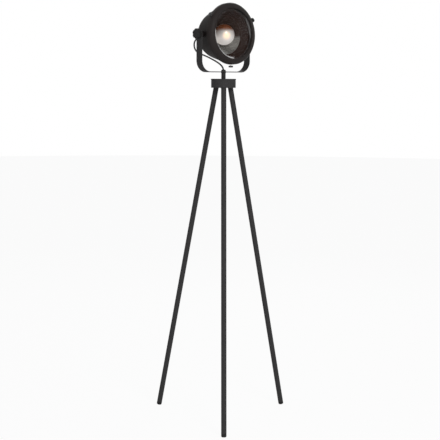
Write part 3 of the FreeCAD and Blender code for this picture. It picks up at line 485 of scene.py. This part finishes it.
def seen_directly(paint):
    """1 for rays from the camera and for those that it sees by gloss or through glass, else 0."""
    rays = paint.node("ShaderNodeLightPath", {}).socket.node.outputs
    kinds = [Wire(paint, rays[f"Is {kind} Ray"]) for kind in ("Camera", "Glossy", "Transmission")]
    return paint.node("ShaderNodeMath", {"operation": "MAXIMUM"}, kinds[0],
                      paint.node("ShaderNodeMath", {"operation": "MAXIMUM"}, kinds[1], kinds[2]))


FINISHES = {maker.__name__: maker for maker in (
    powder_coat, head_enamel, ring_enamel_painted_paler, moulded_black, black_rubber, flex_sheath, plated_steel,
    blacked_steel, fibre_disc, hand_screw, reflector_metal, surround_paint, bakelite, nickel_cap,
    natural_nylon, clear_glass, bulb_glass, filament_wire, studio_floor,
)}


# ---------------------------------------------------------------- mesh helpers

def softened(corners, pieces=5):
    """An outline whose corners (along, out, radius) become arcs; without a radius they stay sharp."""
    points = []
    count = len(corners)
    for index, corner in enumerate(corners):
        here = Vector(corner[:2])
        radius = corner[2] if len(corner) > 2 else 0
        if not radius:
            points.append(here)
            continue
        before = (Vector(corners[index - 1][:2]) - here).normalized()
        after = (Vector(corners[(index + 1) % count][:2]) - here).normalized()
        half = before.angle(after) / 2
        back_off = radius / math.tan(half)
        centre = here + (before + after).normalized() * radius / math.sin(half)
        start, end = here + before * back_off - centre, here + after * back_off - centre
        first = math.atan2(start.y, start.x)
        sweep = math.remainder(math.atan2(end.y, end.x) - first, TAU)
        for step in range(pieces + 1):
            turn = first + sweep * step / pieces
            points.append(centre + Vector((math.cos(turn), math.sin(turn))) * radius)
    return points


def turned_mesh(section, steps, closed=True, ripple=None):
    """A surface of revolution about Z from (along, out) in millimetres.

    ripple(angle, along, out) gives each point its own distance from Z.
    """
    mesh = bmesh.new()
    rows = []
    for point in section:
        along, out = point[0], point[1]
        if abs(out) < 1e-6:
            rows.append([mesh.verts.new((0, 0, along * MM))] * steps)
            continue
        row = []
        for step in range(steps):
            angle = TAU * step / steps
            radius = ripple(angle, along, out) if ripple else out
            spot = Vector((radius * math.cos(angle), radius * math.sin(angle), along))
            row.append(mesh.verts.new(spot * MM))
        rows.append(row)
    pairs = list(zip(rows, rows[1:]))
    if closed:
        pairs.append((rows[-1], rows[0]))
    for low, high in pairs:
        for step in range(steps):
            ahead = (step + 1) % steps
            corners = []
            for vertex in (low[step], low[ahead], high[ahead], high[step]):
                if vertex not in corners:
                    corners.append(vertex)
            if len(corners) > 2:
                mesh.faces.new(corners)
    bmesh.ops.recalc_face_normals(mesh, faces=mesh.faces)
    return mesh


def skinned(mesh, rings):
    """Walls between neighbouring rings of vertices, and a face over each end."""
    for low, high in zip(rings, rings[1:]):
        for step in range(len(low)):
            ahead = (step + 1) % len(low)
            mesh.faces.new((low[step], low[ahead], high[ahead], high[step]))
    mesh.faces.new(rings[0])
    mesh.faces.new(rings[-1])
    bmesh.ops.recalc_face_normals(mesh, faces=mesh.faces)
    return mesh


def piece_from(mesh, name, place, paint, body, slot, *nodes, crease=35, local=False):
    """The mesh as an object on its body, standing for its CAD nodes.

    Its place goes into its mesh, unless its finish is worked out in the piece's own frame.
    """
    data = bpy.data.meshes.new(name)
    mesh.to_mesh(data)
    mesh.free()
    if not local:
        data.transform(place)
    data.shade_smooth()
    data.set_sharp_from_angle(angle=math.radians(crease))
    data.materials.append(finish(paint))
    piece = bpy.data.objects.new(name, data)
    bpy.context.scene.collection.objects.link(piece)
    if local:
        piece.matrix_world = place
    if body:
        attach(piece, body)
    if nodes:
        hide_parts(*nodes)
    return piece


def turned(name, section, place, paint, body, slot, *nodes, steps=None, closed=True, ripple=None,
           crease=35, local=False):
    """A turned piece."""
    steps = steps or head().steps
    mesh = turned_mesh(section, steps, closed, ripple)
    return piece_from(mesh, name, place, paint, body, slot, *nodes, crease=crease, local=local)


def dress_nodes(paint, *nodes):
    """CAD pieces that keep their meshes get a finish."""
    for node in nodes:
        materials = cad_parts[node].data.materials
        materials.clear()
        materials.append(finish(paint))


# ---------------------------------------------------------------- operators

class BuildOperator:
    """What the operators share: each one builds its pieces in build()."""
    bl_options = {"REGISTER", "UNDO"}

    def execute(self, context):
        self.build()
        return {"FINISHED"}


# The flex leaves the back of the head and goes down into the nut on the stem: millimetres forward of
# the pivots and above them, in the upright plane through the beam.
FLEX_ROUTE = [
    (-116.82, -6.73),
    (-138.5, -7.98),
    (-160.5, -16.0),
    (-168.0, -34.0),
    (-160.0, -53.0),
    (-140.5, -65.0),
    (-112.0, -71.8),
    (-84.0, -80.2),
    (-56.5, -89.7),
    (-29.0, -100.7),
    (-11.0, -110.5),
    (0.0, -123.1),
    (0.0, -138.3),
]


def spline_points(points):
    """Points along the smooth line that has these as its control points."""
    curve = bpy.data.curves.new("flex_line", "CURVE")
    curve.dimensions = "3D"
    curve.resolution_u = 16
    spline = curve.splines.new("NURBS")
    spline.points.add(len(points) - 1)
    for control, point in zip(spline.points, points):
        control.co = (*point, 1)
    spline.order_u = 3
    spline.use_endpoint_u = True
    holder = bpy.data.objects.new("flex_line", curve)
    line = bpy.data.meshes.new_from_object(holder)
    result = [vertex.co.copy() for vertex in line.vertices]
    bpy.data.objects.remove(holder)
    bpy.data.curves.remove(curve)
    bpy.data.meshes.remove(line)
    return result


def tube_mesh(path, radius, steps=24):
    """A closed tube along the path, its rings turned as little as may be from one to the next."""
    mesh = bmesh.new()
    side = None
    rows = []
    for index, point in enumerate(path):
        before, after = path[max(index - 1, 0)], path[min(index + 1, len(path) - 1)]
        forward = (after - before).normalized()
        side = (side or forward.orthogonal()).cross(forward).normalized().cross(forward) * -1
        side.normalize()
        up = forward.cross(side)
        rows.append([mesh.verts.new(point + (side * math.cos(TAU * step / steps)
                                             + up * math.sin(TAU * step / steps)) * radius)
                     for step in range(steps)])
    return skinned(mesh, rows)


class MESH_OT_lamp_flex(BuildOperator, bpy.types.Operator):
    """Add the flex from the back of the head to the stem"""
    bl_idname = "mesh.lamp_flex"
    bl_label = "Flex"

    def build(self):
        radius = 3.0 * MM
        place = yoke_place()
        route = [place @ (Vector((ahead, 0, up)) * MM) for ahead, up in FLEX_ROUTE]
        path = spline_points(route)
        flex = piece_from(tube_mesh(path, radius), "flex", Matrix.Identity(4), "flex_sheath", None,
                          "flex_sheath", "free_flex")
        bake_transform(flex)


class MESH_OT_lamp_tripod(BuildOperator, bpy.types.Operator):
    """Add the three legs and their feet"""
    bl_idname = "mesh.lamp_tripod"
    bl_label = "Legs and feet"

    def build(self):
        sizes = tripod()
        cosine = math.cos(math.radians(sizes.splay))
        tilt_clearance, socket_depth, wall = 0.475, 17, 1.5
        foot_end = tilt_clearance / cosine
        tube_start = foot_end + sizes.cap_depth
        tube_end = sizes.hub_bottom / cosine + socket_depth
        radius = sizes.tube_radius
        tube = softened([
            (tube_start + 0.05, radius - wall),
            (tube_start + 0.05, radius, 0.5),
            (tube_end, radius, 0.5),
            (tube_end, radius - wall),
        ])
        cap = softened([
            (foot_end, 0),
            (foot_end, radius, 4.9),
            (foot_end + 4.6, radius),
            (foot_end + 4.9, radius - 0.35),
            (foot_end + 5.2, radius),
            (tube_start - 0.7, radius),
            (tube_start - 0.05, radius - 0.55),
            (tube_start - 0.05, radius - 1.6),
            (tube_start + 14, radius - 1.6),
            (tube_start + 14, 0),
        ], 8)
        for index, side in enumerate(("front", "right", "left")):
            turned(f"leg_tube_{side}", tube, leg_place(index), "powder_coat", "base", "steel_paint",
                   f"leg_{side}", steps=64)
            mesh = turned_mesh(cap, 64, False)
            place = leg_place(index)
            self.flatten_on_floor(mesh, place)
            piece_from(mesh, f"foot_{side}", place, "moulded_black", "base", "foot_moulding",
                       f"foot_cap_{side}")

    def flatten_on_floor(self, mesh, place):
        """The rounded end gets the flat that the lamp stands on."""
        to_local = place.inverted()
        for vertex in mesh.verts:
            spot = place @ vertex.co
            if spot.z < 0:
                spot.z = 0
                vertex.co = to_local @ spot


class MESH_OT_lamp_hub(BuildOperator, bpy.types.Operator):
    """Finish the hub, its lid, the stem and what is inside them"""
    bl_idname = "mesh.lamp_hub"
    bl_label = "Hub and stem"

    def build(self):
        dress_nodes("powder_coat", "hub_drum", "hub_lid", "stem_sleeve")
        dress_nodes("blacked_steel", "lid_screws", "leg_bolts", "cord_nut")
        dress_nodes("black_rubber", "cable_outlet_grommet")
        dress_nodes("natural_nylon", "terminal_block")
        dress_nodes("fibre_disc", "pan_disc_lower", "pan_disc_upper")
        dress_nodes("flex_sheath", "stem_flex")
        dress_nodes("plated_steel", "leg_inserts", "threaded_pipe", "lock_nut", "lock_washer")


def bent_bar(sizes, bend_steps=16):
    """The middle line of the yoke's bar, from the left arm's tip round to the right arm's tip."""
    run = sizes.yoke_half - sizes.bar_thick / 2
    bend = sizes.yoke_corner - sizes.bar_thick / 2
    bottom = sizes.bar_thick / 2 - sizes.yoke_drop
    line = [Vector((0, -run, sizes.bar_width / 2)), Vector((0, -run, bottom + bend))]
    for step in range(1, bend_steps + 1):
        angle = math.pi / 2 * step / bend_steps
        line.append(Vector((0, -run + bend - bend * math.cos(angle),
                            bottom + bend - bend * math.sin(angle))))
    return line + [Vector((0, -point.y, point.z)) for point in line[::-1]]


def rounded_arm(tip, width, steps=12):
    """The bar's middle and its half width, from the round tip of an arm to its pivot."""
    stations = []
    for step in range(steps):
        share = math.sin(math.pi / 2 * step / steps)
        half = max(math.sqrt(1 - (1 - share) ** 2), 0.02) * width / 2
        stations.append((Vector((0, tip.y, tip.z - share * width / 2)), half))
    return stations + [(Vector((0, tip.y, 0)), width / 2)]


def bar_mesh(stations, thick, edge_radius=0.7, edge_steps=3):
    """A flat bar with rounded edges through the stations, its width along X."""
    mesh = bmesh.new()
    rings = []
    for index, (point, half) in enumerate(stations):
        before = stations[max(index - 1, 0)][0]
        after = stations[min(index + 1, len(stations) - 1)][0]
        out = Vector((1, 0, 0)).cross((after - before).normalized()).normalized()
        edge = min(edge_radius, half * 0.9)
        ring = []
        for across, away in ((1, 1), (-1, 1), (-1, -1), (1, -1)):
            for step in range(edge_steps + 1):
                turn = math.pi / 2 * step / edge_steps
                if across * away < 0:
                    turn = math.pi / 2 - turn
                sideways = across * (half - edge + edge * math.cos(turn))
                depth = away * (thick / 2 - edge_radius + edge_radius * math.sin(turn))
                ring.append(mesh.verts.new((point + Vector((sideways, 0, 0)) + out * depth) * MM))
        rings.append(ring)
    return skinned(mesh, rings)


class MESH_OT_lamp_yoke(BuildOperator, bpy.types.Operator):
    """Add the bent flat bar and finish the studs and discs at its pivots"""
    bl_idname = "mesh.lamp_yoke"
    bl_label = "Yoke"

    def build(self):
        sizes = head()
        width = sizes.bar_width
        line = bent_bar(sizes)
        stations = rounded_arm(line[0], width) + [(point, width / 2) for point in line[1:-1]]
        stations += rounded_arm(line[-1], width)[::-1]
        piece_from(bar_mesh(stations, sizes.bar_thick), "yoke_bar", yoke_place(), "powder_coat", "yoke",
                   "steel_paint", "yoke", crease=50)
        for side in ("left", "right"):
            dress_nodes("blacked_steel", f"tilt_stud_{side}")
            dress_nodes("fibre_disc", f"tilt_disc_{side}")
            dress_nodes("plated_steel", f"knob_disc_{side}")


class MESH_OT_lamp_knobs(BuildOperator, bpy.types.Operator):
    """Add the lobed hand knobs"""
    bl_idname = "mesh.lamp_knobs"
    bl_label = "Hand knobs"

    def build(self):
        radius, depth, bore, bore_depth, disc_gap = 19.0, 16.0, 3.95, 9.4, 1.3
        section = softened([
            (0, bore),
            (0, 10.6, 0.5),
            (1.5, 11.6),
            (1.5, radius, 2.9),
            (depth, radius, 3.4),
            (depth, 8.4, 0.5),
            (depth - 0.8, 7.8),
            (depth - 0.8, 0),
            (bore_depth, 0),
            (bore_depth, bore),
        ], 7)

        def lobed(angle, along, out):
            """Six finger notches, their edges rolled over."""
            notch, notch_at, roll, lobe = 6.0, 22.3, 0.8, TAU / 6
            if out < 12:
                return out
            turn = (angle + lobe / 2) % lobe - lobe / 2
            inside = notch ** 2 - (notch_at * math.sin(turn)) ** 2
            limit = notch_at * math.cos(turn) - math.sqrt(inside) if inside > 0 else radius
            gap = (limit - radius) / roll
            soft = radius - roll * math.log1p(math.exp(-gap)) if gap < 20 else radius
            return out * min(soft / radius, 1)

        for side, out, lean in (("left", -1, 90), ("right", 1, -90)):
            place = head_place() @ slide(0, out * (head().yoke_half + disc_gap), 0) @ spin(lean, "X")
            turned(f"hand_knob_{side}", section, place, "moulded_black", f"tilt_knob_{side}",
                   "knob_moulding", f"tilt_knob_{side}", steps=144, ripple=lobed, crease=40)


def spun_line(centre, dome, rim, flare, hole, front, dome_steps=48, cone_steps=8, curl_steps=5):
    """From the hole at the back over the dome, down the cone that it runs into, and along the rim."""
    angle, curl = math.radians(flare), 1.5
    start = math.asin(hole / dome)
    sweep = math.pi / 2 - angle - start
    points = []
    for step in range(dome_steps + 1):
        turn = start + sweep * step / dome_steps
        points.append((centre - dome * math.cos(turn), dome * math.sin(turn)))
    cone_end = centre + (rim * math.cos(angle) - dome) / math.sin(angle)
    curl_start, curl_drop = cone_end - curl, curl * math.tan(angle)
    along, out = points[-1]
    for step in range(1, cone_steps):
        share = step / cone_steps
        points.append((along + (curl_start - along) * share, out + (rim - curl_drop - out) * share))
    for step in range(curl_steps + 1):
        share = step / curl_steps
        points.append((curl_start + 2 * curl * share, rim - curl_drop * (1 - share) ** 2))
    return points + [(front, rim)]


class MESH_OT_lamp_housing(BuildOperator, bpy.types.Operator):
    """Add the spun housing with its pivot bosses"""
    bl_idname = "mesh.lamp_housing"
    bl_label = "Housing"

    def build(self):
        sizes = head()
        wall, cord_hole, front = 1.5, 5.3, 45.5
        outside, inside = (
            spun_line(sizes.dome_centre, sizes.dome_radius - inset, sizes.rim_radius - inset, sizes.flare,
                      cord_hole, front)
            for inset in (0, wall))
        turned("housing", outside + inside[::-1], beam_place(), "head_enamel", "head", "head_paint",
               "housing_shell", crease=40)
        face, bore, bore_end = 112.3, 4.1, 98.3
        boss = softened([
            (70.0, 9.9),
            (83.2, 15.4),
            (85.6, 12.2),
            (88.2, 10.8),
            (91.5, 10.05),
            (face, 10, 0.6),
            (face, bore),
            (bore_end, bore),
            (bore_end, 0),
            (70.0, 0),
        ])
        for side, lean in (("left", 90), ("right", -90)):
            turned(f"pivot_boss_{side}", boss, head_place() @ spin(lean, "X"), "head_enamel", "head",
                   "head_paint", steps=64, closed=False, crease=50)


class MESH_OT_lamp_ring(BuildOperator, bpy.types.Operator):
    """Add the front ring and its hand screws"""
    bl_idname = "mesh.lamp_ring"
    bl_label = "Front ring"

    def build(self):
        sizes = head()
        ring_radius, groove = sizes.ring_radius, 0.4
        ring = softened([
            (31.9, 106.9),
            (31.9, ring_radius, 0.6),
            (36.2, ring_radius),
            (36.5, ring_radius - groove),
            (36.8, ring_radius),
            (46.8, ring_radius, 3.0),
            (53.8, 104.5, 2.5),
            (54.6, 102.4),
            (54.4, 101.9),
            (55.2, 101.0),
            (57.2, 93.4, 1.6),
            (57.2, 89.8, 0.8),
            (48.0, 89.8),
            (48.0, 99.0),
            (41.6, 99.0),
            (41.6, 101.5),
            (46.5, 101.5),
            (46.5, 106.9),
        ])
        # The ring's paler enamel is painted light.
        turned("front_ring", ring, beam_place(), "ring_enamel_painted_paler", "head", "head_paint", "bezel_ring",
               steps=160, crease=30)

        tip, head_start, head_end, head_radius, shank = 102.2, 114.7, 120.2, 8.0, 1.6
        screw = softened([
            (tip, 0),
            (tip, shank, 0.4),
            (head_start, shank, 0.3),
            (head_start, head_radius, 0.4),
            (head_start + 0.4, head_radius),
            (head_end - 0.9, head_radius),
            (head_end, head_radius, 0.8),
            (head_end, 3.2),
            (head_end - 2, 2.8),
            (head_end - 2, 0),
        ], 4)

        def grips(angle, along, out):
            """Fine knurling on the head's edge."""
            if out < 7.0 or not head_start + 0.3 < along < head_end - 0.6:
                return out
            return out - 0.35 * (0.5 + 0.5 * math.cos(24 * angle)) ** 2

        for number in (1, 2, 3):
            angle = sizes.screw_angle + 120 * (number - 1)
            place = head_place() @ spin(angle - 90, "X") @ slide(sizes.screw_station, 0, 0)
            turned(f"hand_screw_{number}", screw, place, "hand_screw", f"bezel_screw_{number}",
                   "blacked_steel", f"bezel_screw_{number}", steps=96, closed=False, ripple=grips,
                   local=True)


class MESH_OT_lamp_optics(BuildOperator, bpy.types.Operator):
    """Add the lens, the surround, the reflector and the bulb"""
    bl_idname = "mesh.lamp_optics"
    bl_label = "Lens, reflector and bulb"

    def build(self):
        self.add_lens()
        self.add_surround()
        self.add_reflector()
        self.add_holder()
        self.add_bulb()

    def add_lens(self):
        """Nearly flat in the middle, rolled down at the shoulder."""
        back, front, crown, shoulder, rim, steps = 44.4, 47.2, 4.0, 90.0, 98.7, 32

        def bowl(base):
            return [(base + crown * (1 - (step / steps) ** 7), shoulder * step / steps)
                    for step in range(steps + 1)]

        lens = bowl(back) + [(back, rim), (front, rim)] + bowl(front)[::-1]
        turned("lens", lens, beam_place(), "clear_glass", "head", "lens_glass", "lens_glass",
               closed=False, local=True)
        dress_nodes("black_rubber", "lens_gasket")
        dress_nodes("plated_steel", "lens_clip", "rim_nuts")

    def add_surround(self):
        """Sheet that flares from the reflector's flange to the rim."""
        surround = softened([
            (10.0, 71.0),
            (33.0, 90.5, 1.2),
            (33.8, 90.5),
            (33.8, 104.9),
            (33.0, 104.9),
            (33.0, 91.5),
            (10.8, 72.7),
            (10.8, 77.0),
            (10.0, 77.0),
        ])
        turned("surround", surround, beam_place(), "surround_paint", "head", "surround_paint",
               "inner_surround")

    def add_reflector(self):
        """A parabola between the holder and the flange, in thin sheet."""
        front, back, mouth, throat, flange, sheet, steps = 10.0, -62.0, 71.0, 22.5, 77.0, 0.8, 40
        slope = (front - back) / (mouth ** 2 - throat ** 2)
        apex = front - slope * mouth ** 2
        painted_light_below, dull = [], []
        for step in range(steps + 1):
            radius = throat + (mouth - throat) * step / steps
            along = apex + slope * radius ** 2
            lean = math.hypot(1, 2 * slope * radius)
            painted_light_below.append((along, radius))
            dull.append((along - sheet / lean, radius + sheet * 2 * slope * radius / lean))
        dish = painted_light_below + [(front, flange), (front - sheet, flange)] + dull[:-1][::-1]
        turned("reflector", dish, beam_place(), "reflector_metal", "head", "bright_aluminium",
               "reflector_dish", local=True)

    def add_holder(self):
        """Stepped moulding round the bulb's cap."""
        holder = softened([
            (-88, 5.1),
            (-88, 12, 1.0),
            (-80, 12),
            (-77, 19.5, 1.5),
            (-52, 19.5),
            (-52, 21.0, 0.6),
            (-44, 21.0, 0.8),
            (-44, 13.8, 0.6),
            (-66, 13.8),
            (-66, 0),
        ])
        turned("holder", holder, beam_place(), "bakelite", "head", "holder_moulding", "lamp_holder",
               steps=96, closed=False)
        dress_nodes("plated_steel", "holder_nipple", "back_nut")
        dress_nodes("flex_sheath", "head_flex")

    def add_bulb(self):
        """A globe with a filleted neck, and the parts inside it."""
        radius, centre, neck, fillet, wall, neck_end = 37.5, 2.0, 12.5, 10.0, 1.0, -46.8
        fillet_steps, globe_steps = 8, 48
        apart = radius + fillet
        along = math.sqrt(apart ** 2 - (neck + fillet) ** 2)
        sweep = math.asin((neck + fillet) / apart)

        def globe(ball, throat, joint):
            points = [(neck_end, throat)]
            for step in range(fillet_steps + 1):
                turn = -math.pi / 2 + (math.pi / 2 - sweep) * step / fillet_steps
                points.append((centre - along + joint * math.cos(turn),
                               neck + fillet + joint * math.sin(turn)))
            for step in range(1, globe_steps):
                turn = (math.pi - sweep) * (1 - step / globe_steps)
                points.append((centre + ball * math.cos(turn), ball * math.sin(turn)))
            return points + [(centre + ball, 0)]

        shell = globe(radius, neck, fillet) + globe(radius - wall, neck - wall, fillet + wall)[::-1]
        turned("bulb", shell, beam_place(), "bulb_glass", "head", "bulb_glass", "bulb_glass", steps=96,
               local=True)
        dress_nodes("nickel_cap", "bulb_cap")
        dress_nodes("natural_nylon", "bulb_mount")
        dress_nodes("filament_wire", "bulb_filament")


class MESH_OT_lamp_grip(BuildOperator, bpy.types.Operator):
    """Add the ribbed cord grip at the back of the head"""
    bl_idname = "mesh.lamp_grip"
    bl_label = "Cord grip"

    def build(self):
        bore, ribs, pitch, first = 3.2, 5, 2.2, -105.4
        section = [(-97.1, 5.1), (-97.1, 8.4), (-97.7, 9.0), (-103.6, 9.0), (-104.1, 8.6), (-105.0, 7.2)]
        for rib in range(ribs):
            start, wide = first - rib * pitch, 7.0 - rib * 0.5
            section += [(start, wide), (start - 1.2, wide - 0.25), (start - 1.4, wide - 1.0),
                        (start - 2.0, wide - 1.1)]
        section += [(-116.6, 4.6), (-117.0, 4.3), (-117.0, bore), (-106.6, bore), (-106.6, 5.1)]
        turned("cord_grip_sleeve", section, beam_place(), "moulded_black", "head", "knob_moulding",
               "cord_grip", steps=64, crease=30)


class SCENE_OT_lamp_stage(BuildOperator, bpy.types.Operator):
    """Add the pale floor, the soft studio lights and the camera"""
    bl_idname = "scene.lamp_stage"
    bl_label = "Stage"

    def build(self):
        scene = bpy.context.scene
        scene.view_settings.view_transform = "Standard"
        self.add_floor()
        self.add_world(scene)
        # Name, place, point aimed at, diameter and watts, colour.
        for name, spot, aim, size, power, colour in (
            ("key", (1.4, -3.6, 2.7), (0, 0, 1.1), 1.5, 80, (1, 0.99, 0.975)),
            ("fill", (-0.9, -3.7, 0.3), (0, 0, 1.2), 0.8, 15, (0.98, 0.99, 1)),
            ("rim", (0.6, 2.6, 2.6), (0, 0, 1.2), 1.4, 24, (1, 1, 1)),
        ):
            self.add_light(name, spot, aim, size, power, colour)
        self.add_camera(scene)

    def add_floor(self):
        mesh = bmesh.new()
        bmesh.ops.create_circle(mesh, cap_ends=True, segments=96, radius=14)
        floor = piece_from(mesh, "floor", Matrix.Translation((0, 0, -0.0004)), "studio_floor", None, None)

    def add_world(self, scene):
        world = bpy.data.worlds.new("studio")
        world.use_nodes = True
        scene.world = world
        nodes, links = world.node_tree.nodes, world.node_tree.links
        soft = nodes["Background"]
        soft.inputs["Color"].default_value = (0.94, 0.96, 1.0, 1)
        soft.inputs["Strength"].default_value = 0.3
        white = nodes.new("ShaderNodeBackground")
        white.inputs["Color"].default_value = (1, 1, 1, 1)
        rays = nodes.new("ShaderNodeLightPath")
        seen = rays.outputs["Is Camera Ray"]
        for kind in ("Glossy", "Transmission"):
            either = nodes.new("ShaderNodeMath")
            either.operation = "MAXIMUM"
            links.new(seen, either.inputs[0])
            links.new(rays.outputs[f"Is {kind} Ray"], either.inputs[1])
            seen = either.outputs[0]
        choose = nodes.new("ShaderNodeMixShader")
        links.new(seen, choose.inputs["Fac"])
        links.new(soft.outputs[0], choose.inputs[1])
        links.new(white.outputs[0], choose.inputs[2])
        links.new(choose.outputs[0], nodes["World Output"].inputs["Surface"])

    def add_light(self, name, spot, aim, size, power, colour):
        light = bpy.data.lights.new(name, "AREA")
        light.shape = "DISK"
        light.size = size
        light.energy = power
        light.color = colour
        holder = bpy.data.objects.new(name, light)
        holder.location = spot
        holder.rotation_euler = (Vector(aim) - Vector(spot)).to_track_quat("-Z", "Y").to_euler()
        bpy.context.scene.collection.objects.link(holder)

    def add_camera(self, scene):
        """The photograph's viewpoint, fitted to the feet, the hub and the ring."""
        heading, pitch, roll = map(math.radians, (1.871, 7.249, 0.356))
        level = Vector((math.sin(heading), math.cos(heading), 0))
        right = Vector((level.y, -level.x, 0))
        ahead = level * math.cos(pitch) - Vector((0, 0, 1)) * math.sin(pitch)
        up = Vector((0, 0, 1)) * math.cos(pitch) + level * math.sin(pitch)
        across = right * math.cos(roll) + up * math.sin(roll)
        upward = up * math.cos(roll) - right * math.sin(roll)
        data = bpy.data.cameras.new("camera")
        data.sensor_width = 36
        data.lens = 92.64
        data.clip_end = 60
        camera = bpy.data.objects.new("camera", data)
        camera.matrix_world = Matrix.Translation((-0.1447, -4.1428, 1.2669)) @ Matrix((
            (across.x, upward.x, -ahead.x), (across.y, upward.y, -ahead.y),
            (across.z, upward.z, -ahead.z))).to_4x4()
        scene.collection.objects.link(camera)
        scene.camera = camera


OPERATORS = (
    SCENE_OT_lamp_stage,
    MESH_OT_lamp_flex,
    MESH_OT_lamp_tripod,
    MESH_OT_lamp_hub,
    MESH_OT_lamp_yoke,
    MESH_OT_lamp_knobs,
    MESH_OT_lamp_housing,
    MESH_OT_lamp_ring,
    MESH_OT_lamp_optics,
    MESH_OT_lamp_grip,
)


class VIEW3D_PT_lamp(bpy.types.Panel):
    """Sidebar panel with the lamp's sizes, finishes and pieces"""
    bl_label = "Tripod Spotlight"
    bl_space_type = "VIEW_3D"
    bl_region_type = "UI"
    bl_category = "Lamp"

    def draw(self, context):
        for group in (tripod(), head(), finishes()):
            box = self.layout.box()
            for name in group.bl_rna.properties.keys():
                if name not in ("rna_type", "name"):
                    box.prop(group, name)
        for operator in OPERATORS:
            self.layout.operator(operator.bl_idname)


CLASSES = (TripodSizes, HeadSizes, Finishes, *OPERATORS, VIEW3D_PT_lamp)


def register():
    for item in CLASSES:
        bpy.utils.register_class(item)
    bpy.types.Scene.lamp_tripod = PointerProperty(type=TripodSizes)
    bpy.types.Scene.lamp_head = PointerProperty(type=HeadSizes)
    bpy.types.Scene.lamp_finishes = PointerProperty(type=Finishes)


def unregister():
    del bpy.types.Scene.lamp_finishes
    del bpy.types.Scene.lamp_head
    del bpy.types.Scene.lamp_tripod
    for item in reversed(CLASSES):
        bpy.utils.unregister_class(item)


def main():
    register()
    for operator in OPERATORS:
        group, name = operator.bl_idname.split(".")
        getattr(getattr(bpy.ops, group), name)()


if __name__ == "__main__":
    main()
